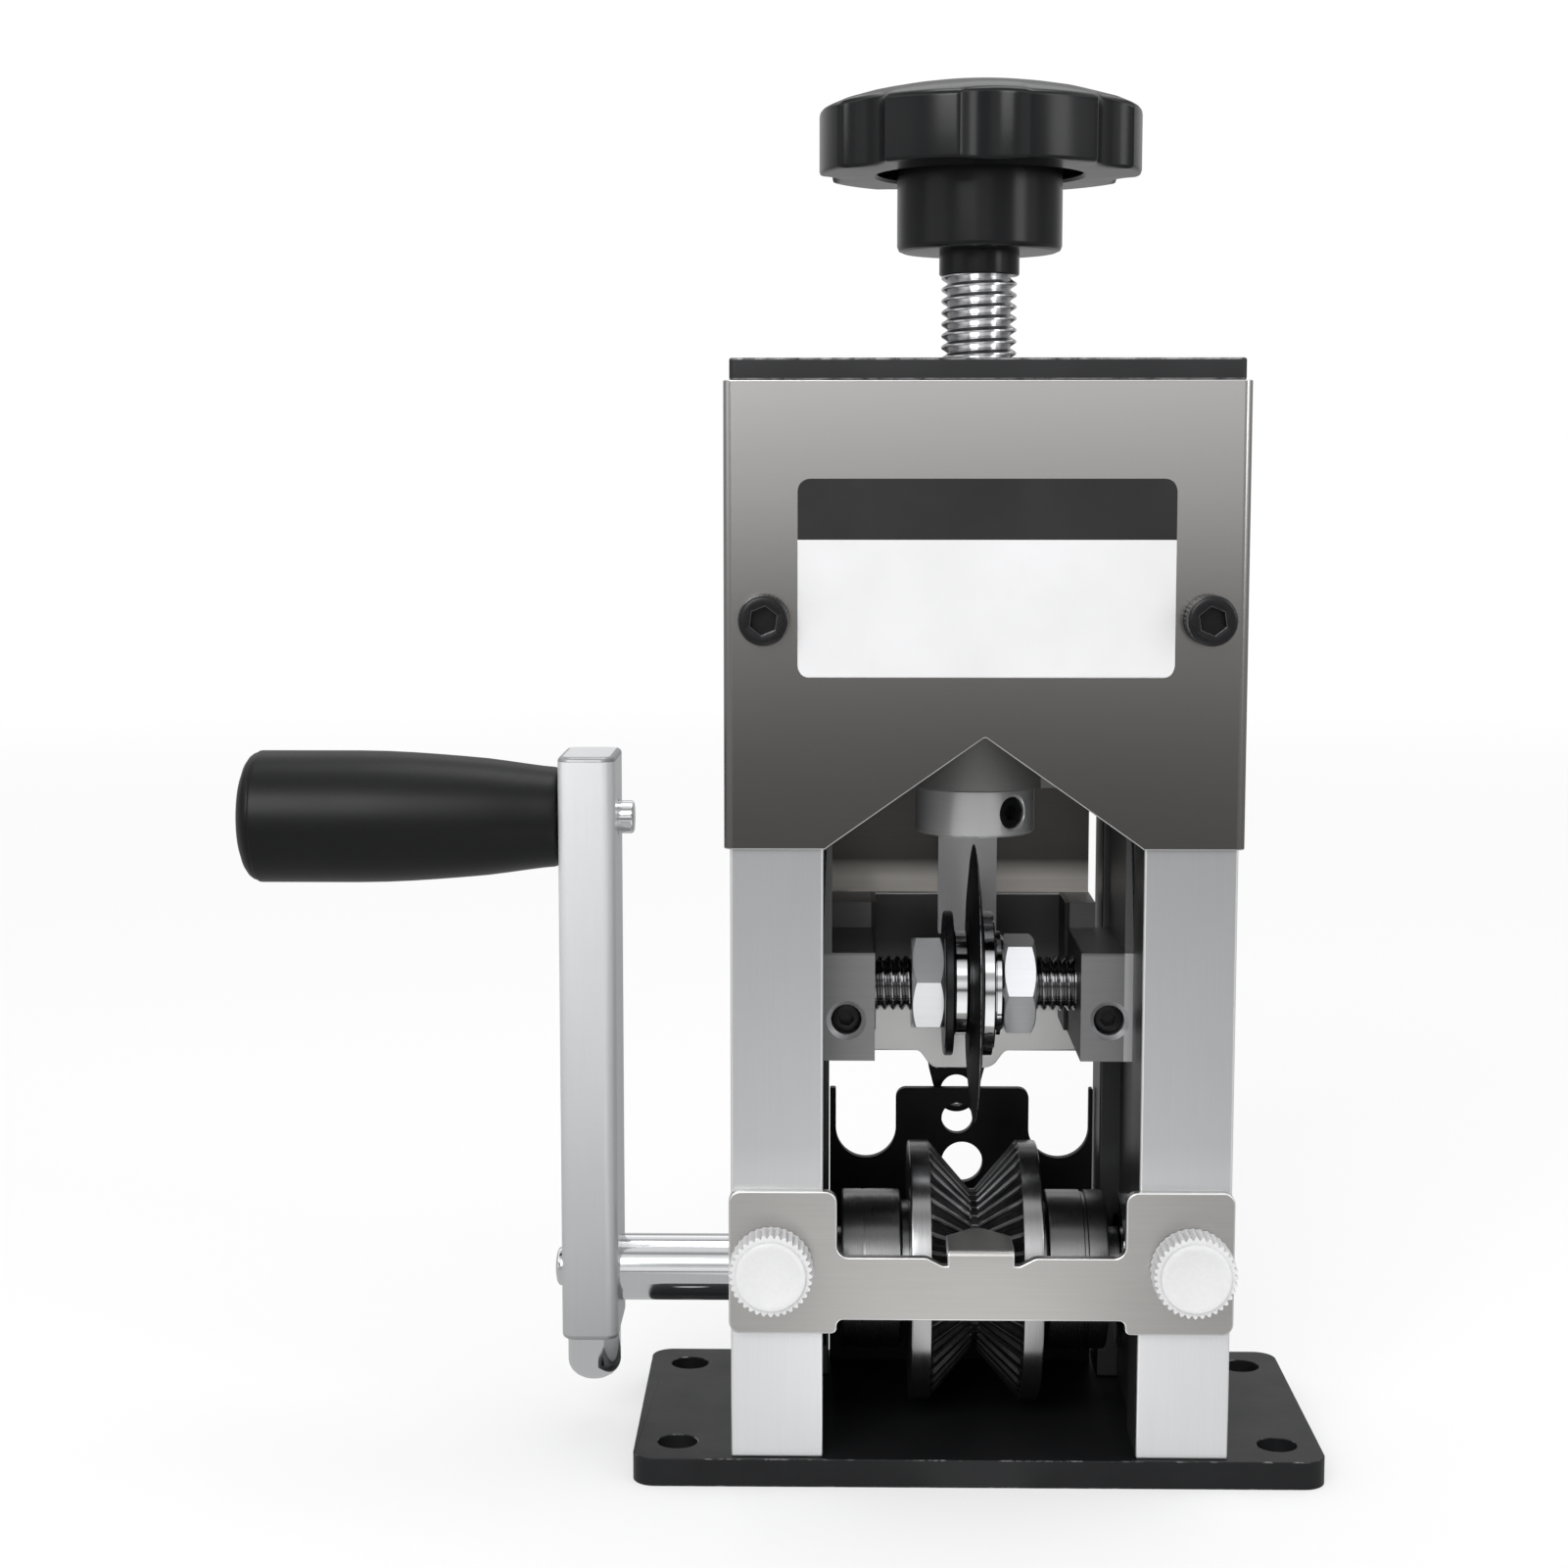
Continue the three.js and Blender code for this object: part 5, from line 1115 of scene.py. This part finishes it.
@dataclass
class Carriage:
    """Cross-head, side arms, rear plate, presser strip and wire shoe."""

    rod_z: float = 82.9
    jaw_in: float = 18
    jaw_y: float = 14.2
    jaw_z: Pair = (71.6, 90.8)
    leg: Pair = (25.55, 27.85)
    bore: Pair = (24.7, 5.03)
    bracket_in: float = 17.4
    brackets: Pair = (25.6, 23)  # outer faces at the left and the right
    bracket_z: Pair = (71.6, 95.5)
    cross_z: Pair = (119.3, 135.3)
    cross_y: float = 9
    plate_half: float = 23
    plate_y: Pair = (26.3, 27.9)
    plate_z: Pair = (65, 95.3)
    middle: float = -0.7
    tab: Triple = (8, 5.6, 3.4)
    strip: Triple = (5.5, 0.9, 87.6)
    shoe_x: float = -1.65
    shoe: Triple = (5.4, 72, 1.9)
    eye: Triple = (56.9, 4.2, 3)
    jaw_screw: Quad = (23, 78.8, 2.6, 2.3)

    def side(self, s: int) -> Form:
        """Shape one side arm: a thin leg, a jaw and a bracket behind it."""
        (leg_in, leg_out), y, (z0, z1) = self.leg, self.jaw_y, self.jaw_z
        form = block(s * leg_in, s * leg_out, -y, y, z0, self.cross_z[1])
        form.join(block(s * self.jaw_in, s * leg_out, -y, y, z0, z1))
        inner, outer = s * self.bracket_in, s * self.brackets[s > 0]
        form.join(block(inner, outer, y - 1, self.plate_y[0], *self.bracket_z))
        end, r = self.bore
        form.cut(rod(self.jaw_in - 2, end, r).placed(OUTWARD[s], (0, 0, self.rod_z)))
        x, z, r, sunk = self.jaw_screw
        hole, flare = r + FIT, sunk - 0.8
        sink = [(-7, 0), (-7, hole), (flare, hole), (flare + 3.8, hole + 3.8), (flare + 3.8, 0)]
        form.cut(lathe(sink, 64).placed(FORWARD, (s * x, sunk - y, z))).bevel(0.35, 3)
        # Painted highlight: the countersinks round the jaw screws get the mark, so the jaw finish
        # paints them with its light edge colour.
        return form.mark(lambda m: -y < m.y < 0.7 - y and hypot(m.x - s * x, m.z - z) < r + 1.2)

    def cross_head(self) -> Form:
        """Shape the cross-head: a beam, a round boss and a tail."""
        (z0, z1), x, (half, t, _) = self.cross_z, self.leg[0], self.strip
        form = block(-x, x, -self.cross_y, self.cross_y, z0, z1)
        form.join(rod(z0, z1, self.jaw_y, steps=128))
        form.join(block(-half, half, 0, self.plate_y[0] - t, z0, z1))
        return form.cut(rod(z0 - PAST, z1 + PAST, 5.1)).bevel(0.4, 3)

    def rear_plate(self) -> Form:
        """Shape the rear plate with its tab."""
        half, (z0, z1), m = self.plate_half, self.plate_z, self.middle
        wide, tip, high = self.tab
        corners = [
            (-half, z0, 0.5), (m - wide, z0, 0.8), (m - tip, z0 - high, 1),
            (m + tip, z0 - high, 1.6), (m + wide, z0, 0.8), (half, z0, 0.5), (half, z1, 0.5),
            (-half, z1, 0.5),
        ]
        y0, y1 = self.plate_y
        return plate(corners, y1 - y0).placed(FORWARD, (0, y1, 0)).bevel(0.25, 3)

    def wire_shoe(self) -> Form:
        """Shape the tapered shoe with its eye."""
        (z, r, hole), (h, top, t) = self.eye, self.shoe
        foot, back = self.plate_z[0] - self.tab[2], self.plate_y[1] + t
        corners = [(-h, top, 1), (-h, foot, 0.6), (-r, z), (r, z), (h, foot, 0.6), (h, top, 1)]
        form = plate(corners, t).placed(FORWARD, (self.shoe_x, back, 0))
        eye = (self.shoe_x, back, z)
        form.join(rod(-t, 0, r).placed(BACK, eye))
        return form.cut(rod(-t - PAST, PAST, hole).placed(BACK, eye)).bevel(0.3, 3)

    def build(self, shop: Workshop) -> None:
        """Make the pieces."""
        x, z, r, sunk = self.jaw_screw
        for side, s in SIDES:
            shop.piece(self.side(s), f"carriage_side_{side}", "jaw_steel")
            screw = rod(-6, 0, r, 0.4, 48).cut(hex_pit(2.6, 1.8, 12 * s))
            screw.placed(FORWARD, (s * x, sunk - self.jaw_y, z))
            shop.piece(screw, f"jaw_screw_{side}", "oxide")
            shop.dress("oxide", f"carriage_plate_screw_{side}")
        shop.piece(self.cross_head(), "cross_head", "head_steel")
        half, t, low = self.strip
        strip = plate(rectangle(-half, half, low, self.cross_z[1], 0.4), t)
        strip.placed(FORWARD, (0, self.plate_y[0], 0)).bevel(0.18, 2)
        shop.piece(strip, "presser_strip", "strip_steel")
        shop.piece(self.rear_plate(), "carriage_plate", "carriage_sheet")
        shop.piece(self.wire_shoe(), "wire_shoe", "guide_black")


@dataclass
class BladeStack:
    """Threaded rod, nuts, washers, rings and the round blade."""

    z: float = 82.9
    rod_r: float = 4.95
    root_r: float = 4.2
    pitch: float = 1.5
    thread_end: float = 17.8
    reach: float = 24.6
    blade: Triple = (25, 1.1, 13.5)
    bush_r: float = 7.9
    hub: float = 2.2
    washer_r: float = 13
    ring: Pair = (9.4, 1.7)
    nut: Pair = (16, 5.8)

    def threaded_rod(self) -> Form:
        """Wind the rod's thread between its plain ends."""
        inner, outer, r = self.thread_end, self.reach, self.rod_r
        form = thread(-inner, inner, r, self.root_r, self.pitch)
        form.add(rod(inner, outer, r, 0.3)).add(rod(-outer, -inner, r, 0.3))
        return form.placed(RIGHT, (0, 0, self.z))

    def nut_form(self, turn: float, foot: float) -> Form:
        """Shape a hexagon nut with chamfered ends and a bore, at a height."""
        flats, t = self.nut
        corner = flats / sqrt(3)
        drop, wide = (corner - flats / 2) * 0.62, corner + 0.05
        narrow = wide - (wide - flats / 2 + 0.15) * (drop + PAST) / drop
        cone = [
            (-PAST, 0), (-PAST, narrow), (drop, wide), (t - drop, wide), (t + PAST, narrow),
            (t + PAST, 0),
        ]
        form = plate(hexagon(flats, turn), t).clip(lathe(cone))
        form.cut(rod(-PAST, t + PAST, self.rod_r + 0.06))
        return form.bevel(0.22, 3, 20).placed(UP, (0, 0, foot))

    def cutter(self) -> Form:
        """Turn the double-bevelled blade with its ground steps."""
        r, half, hub = self.blade
        near = [
            (half, self.bush_r), (half, hub - 0.2), (half - 0.12, hub), (half * 0.86, hub + 2.6),
            (half * 0.72, hub + 5.5), (half * 0.38, hub + 8.9), (half * 0.22, r - 1),
            (0.05, r - 0.02),
        ]
        form = lathe(near + [(-h, radius) for h, radius in reversed(near)], 160, closed=True)
        return form.mark(lambda m: hypot(m.x, m.y) > r - 0.5).placed(RIGHT, (0, 0, self.z))

    def build(self, shop: Workshop) -> None:
        """Make the pieces."""
        shop.piece(self.threaded_rod(), "blade_rod", "rod_steel", 40)
        at, bore = (0, 0, self.z), self.rod_r + FIT
        ring_r, ring_t = self.ring
        hub, near = self.hub, self.blade[1] + 0.05
        # The washer lies outside the ring at the left and inside it at the right.
        stacks = (
            (LEFT, "left", 10.6, "oxide", (hub + ring_t, hub + ring_t + 1.6), (hub, hub + ring_t)),
            (RIGHT, "right", 5, "chrome", (hub, hub + 1.1), (hub + 1.1, hub + 1.1 + ring_t)),
        )
        for facing, side, turn, finish, washer, ring in stacks:
            nut = self.nut_form(turn, max(washer[1], ring[1]))
            shop.piece(nut.placed(facing, at), f"rod_nut_{side}", "nut_steel", 26)
            start, end = washer if washer[0] > hub else (near, washer[1])
            form = tube(start, end, self.washer_r, bore, 0.25, 128).placed(facing, at)
            shop.piece(form, f"washer_{side}", finish)
            start = ring[0] + 0.02 if ring[0] > hub else near
            form = tube(start, ring[1] - 0.02, ring_r, bore, 0.45).placed(facing, at)
            shop.piece(form, f"ring_{side}", "chrome")
        shop.piece(self.cutter(), "cutter_blade", "blade_black", 50)
        shop.dress("chrome", "blade_bush")


@dataclass
class Adjusting:
    """Adjusting screw, its collar and the star knob."""

    crest: float = 6.6
    root: float = 5.5
    pitch: float = 2
    thread_z: Pair = (142, 208.4)
    journal: float = 5
    shoulder: Triple = (8, 135.65, 4)
    collar: Triple = (10.6, 110.55, 118.95)
    grub: Triple = (2.75, 36.7, 0.7)
    neck: Pair = (7, 212.4)
    hub_r: float = 14.4
    knob_r: float = 28
    knob_z: Triple = (225.5, 236.9, 241.3)
    lobes: int = 7
    first: float = 272
    scallop: Pair = (2.8, 8.7)
    recess: Pair = (18, 6)

    def screw(self) -> Form:
        """Turn the shank and wind its thread."""
        r, z, h = self.shoulder
        foot, j, (t0, t1) = self.collar[1], self.journal, self.thread_z
        profile = [
            (foot, 0), (foot, j - 0.5), (foot + 0.5, j), (z, j), (z, r - 0.3), (z + 0.3, r),
            (z + h - 0.3, r), (z + h, r - 0.3), (z + h, self.root), (t0 + 1, self.root - 0.4),
            (t0 + 1, j), (t1 + 16, j), (t1 + 16, 0),
        ]
        return lathe(profile).add(thread(t0, t1, self.crest, self.root, self.pitch))

    def dip(self, angle: float) -> float:
        """Return how deep the scallop is at an angle, as a share of its depth."""
        depth, r = self.scallop
        reach = self.knob_r - depth + r
        pitch = tau / self.lobes
        away = (angle - radians(self.first) + pitch / 2) % pitch - pitch / 2
        inside = r * r - (reach * sin(away)) ** 2
        edge = reach * cos(away) - sqrt(max(inside, 0))
        return max(0.0, self.knob_r - edge) / depth if inside > 0 else 0.0

    def knob(self) -> Form:
        """Turn the scalloped knob with its dome, recess, hub and neck."""
        r, (z0, edge, top) = self.knob_r, self.knob_z
        d, high, rise = self.scallop[0], top - edge, 0.75
        (hollow, deep), (neck, foot), hub = self.recess, self.neck, self.hub_r
        t1, socket = self.thread_z[1], self.journal + FIT
        rows = [
            (t1 + 15.9, 0), (t1 + 15.9, socket), (t1, socket), (t1, neck - 0.2),
            (t1 + 0.25, neck), (foot, neck), (foot, hub - 1), (foot + 0.3, hub - 0.3),
            (foot + 1, hub), (z0 + deep, hub), (z0 + deep, hollow), (z0 + 0.5, hollow),
            (z0, hollow + 0.5), (z0, r - 0.7, d), (z0 + 0.2, r - 0.2, d), (z0 + 0.7, r, d),
            (z0 + 5, r, d), (edge - 1.3, r, d, rise), (edge - 0.75, r - 0.13, d, rise),
            (edge - 0.3, r - 0.5, d, rise), (edge + 0.02, r - 1.1, d, rise),
            (edge + high * 0.2, r * 0.89, d, rise * 0.85),
            (edge + high * 0.48, r * 0.74, d * 0.3, rise * 0.2), (edge + high * 0.7, r * 0.57),
            (edge + high * 0.84, r * 0.44), (edge + high * 0.94, r * 0.28),
            (edge + high * 0.99, r * 0.12), (top, 0),
        ]
        return waved(rows, 48 * self.lobes, self.dip)

    def build(self, shop: Workshop) -> None:
        """Make the pieces."""
        shop.piece(self.screw(), "adjusting_screw", "screw_steel", 40)
        (r, z0, z1), (grub_r, turn, sunk) = self.collar, self.grub
        out = Vector((sin(radians(turn)), -cos(radians(turn)), 0))
        at = Vector((0, 0, (z0 + z1) / 2)) + out * (r - sunk)
        aim = Matrix.Translation(at) @ out.to_track_quat("Z", "Y").to_matrix().to_4x4()
        length, hole = r - sunk - self.journal - 0.1, grub_r + FIT
        end = -length - PAST
        drill = lathe([(end, 0), (end, hole), (0.25, hole), (4.25, hole + 4), (4.25, 0)])
        grub = rod(-length, 0, grub_r, 0.3, 48).cut(hex_pit(2.6, 2))
        for aimed in (grub, drill):
            aimed.bm.transform(aim)
        collar = tube(z0, z1, r, self.journal + FIT, 0.4, 128).cut(drill).bevel(0.2, 2, 40)
        shop.piece(collar, "collar", "collar_steel")
        shop.piece(grub, "collar_screw", "oxide")
        shop.piece(self.knob(), "star_knob", "knob_plastic", 40)


@dataclass
class Studio:
    """Camera, floor, world and lamps."""

    eye: Triple = (-0.02584, -0.48237, 0.17239)
    tilt: float = 6.33
    yaw: float = 0.99
    lens: float = 62.3
    floor_r: float = 5
    # Levels of the floor for glossy rays, by metres from the middle, ahead and beside.
    ahead: tuple[Pair, ...] = (
        (0.12, 1.1), (0.2, 0.9), (0.4, 0.66), (0.62, 0.16), (0.9, 0.13), (1.5, 0.24), (3, 0.42),
        (4.8, 0.6),
    )
    beside: tuple[Pair, ...] = ((0.12, 0.5), (0.4, 0.42), (0.8, 0.4), (4.8, 0.55))
    # Levels of the room for glossy rays, by height of the ray and by its angle from the front.
    heights: tuple[Pair, ...] = (
        (0, 0.6), (0.04, 0.8), (0.17, 0.95), (0.3, 0.5), (0.42, 0.5), (0.48, 1.5), (0.6, 1.5),
        (0.7, 0.95), (0.8, 0.8), (0.88, 0.25), (0.95, 0.8),
    )
    angles: tuple[Pair, ...] = (
        (0.2, 1), (0.32, 0.5), (0.75, 0.5), (0.95, 1), (1.35, 1), (1.55, 0.4), (2.2, 0.4),
        (2.6, 0.7),
    )
    lamps: tuple[tuple[str, Triple, Pair, float], ...] = (  # name, place, size, watts
        ("key", (-0.45, -1.15, 0.75), (0.6, 0.7), 7.5),
        ("fill", (1.1, -0.8, 0.6), (0.4, 0.9), 3),
        ("top", (0.1, 0.2, 1.5), (0.9, 0.6), 5),
    )

    def camera(self) -> None:
        """Set the camera at the photograph's angle."""
        data = bpy.data.cameras.new("front_camera")
        data.lens, data.sensor_width, data.clip_start = self.lens, 36, 0.01
        item = linked("front_camera", data)
        item.location = self.eye
        item.rotation_euler = Euler((radians(90 - self.tilt), 0, radians(self.yaw)))
        bpy.context.scene.camera = item

    def floor(self) -> None:
        """Lay the pale floor, which is darker further out for glossy rays."""
        form = Form()
        bmesh.ops.create_circle(form.bm, cap_ends=True, segments=96, radius=self.floor_r / MM)
        item = form.finished("floor")
        item.modifiers.clear()
        sheet = Sheet.named("pale_floor")
        x, y, _ = sheet.parts()
        away = (x * x + y * y) ** 0.5
        aside = abs(x).angle(y * -1).spread(0.2, 0.34)
        seen = away.read(self.ahead) * (1 - aside) + away.read(self.beside) * aside
        pale = sheet.node("BsdfDiffuse", {}, {"Color": (0.86, 0.86, 0.86, 1)})
        shown = sheet.blend(away.spread(0.35, 1.6, 0.52, 1), pale, sheet.light("Emission", 1))
        other = sheet.blend(sheet.ray("Glossy"), pale, sheet.light("Emission", seen))
        sheet.end(sheet.blend(sheet.ray("Camera"), other, shown))
        item.data.materials.append(sheet.owner)

    def world(self) -> None:
        """Light the room: white for the camera, graded for reflections, even for the rest."""
        world = bpy.data.worlds.new("studio")
        bpy.context.scene.world = world
        sheet = Sheet(world)
        x, y, z = sheet.parts("Generated")
        upward = z.spread(0.5, 0.75)
        band = abs(x).angle(y * -1).read(self.angles)
        strength = z.read(self.heights) * (band * (1 - upward) + upward)
        seen = sheet.light("Background", strength, 1.01)
        even, white = (sheet.light("Background", level) for level in (0.8, 1))
        lit = sheet.blend(sheet.ray("Glossy"), even, seen)
        sheet.end(sheet.blend(sheet.ray("Camera"), lit, white), "OutputWorld")

    def build(self) -> None:
        """Set up everything round the tool, with soft lamps that look at its middle."""
        self.camera()
        self.floor()
        self.world()
        for name, at, size, watts in self.lamps:
            data = bpy.data.lights.new(name, "AREA")
            data.shape, (data.size, data.size_y), data.energy = "RECTANGLE", size, watts
            item = linked(name, data)
            item.location = at
            aim = Vector((0, 0, 0.1)) - Vector(at)
            item.rotation_euler = aim.to_track_quat("-Z", "Y").to_euler()
        bpy.context.scene.view_settings.view_transform = "Standard"


def main() -> None:
    """Build the tool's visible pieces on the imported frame."""
    logging.basicConfig(level=logging.INFO, format="%(name)s: %(message)s")
    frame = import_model()
    drive, covers = FeedDrive(), Covers()
    special = (
        LabelFinish("blank_label", covers.label[3] + covers.band),
        RollerFinish("feed_roller_steel", drive.rim_in),
    )
    Studio().build()
    shop = Workshop(frame, {f.name: f.material() for f in (*FINISHES, *special)})
    base, stack = BaseAndUprights(), BladeStack()
    for part in (base, covers, RearGuide(), FrontGuide(), drive, Carriage(), stack, Adjusting()):
        part.build(shop)
        log.info("%s done, %d pieces so far", type(part).__name__, shop.count)
    bpy.context.view_layer.update()


if __name__ == "__main__":
    main()
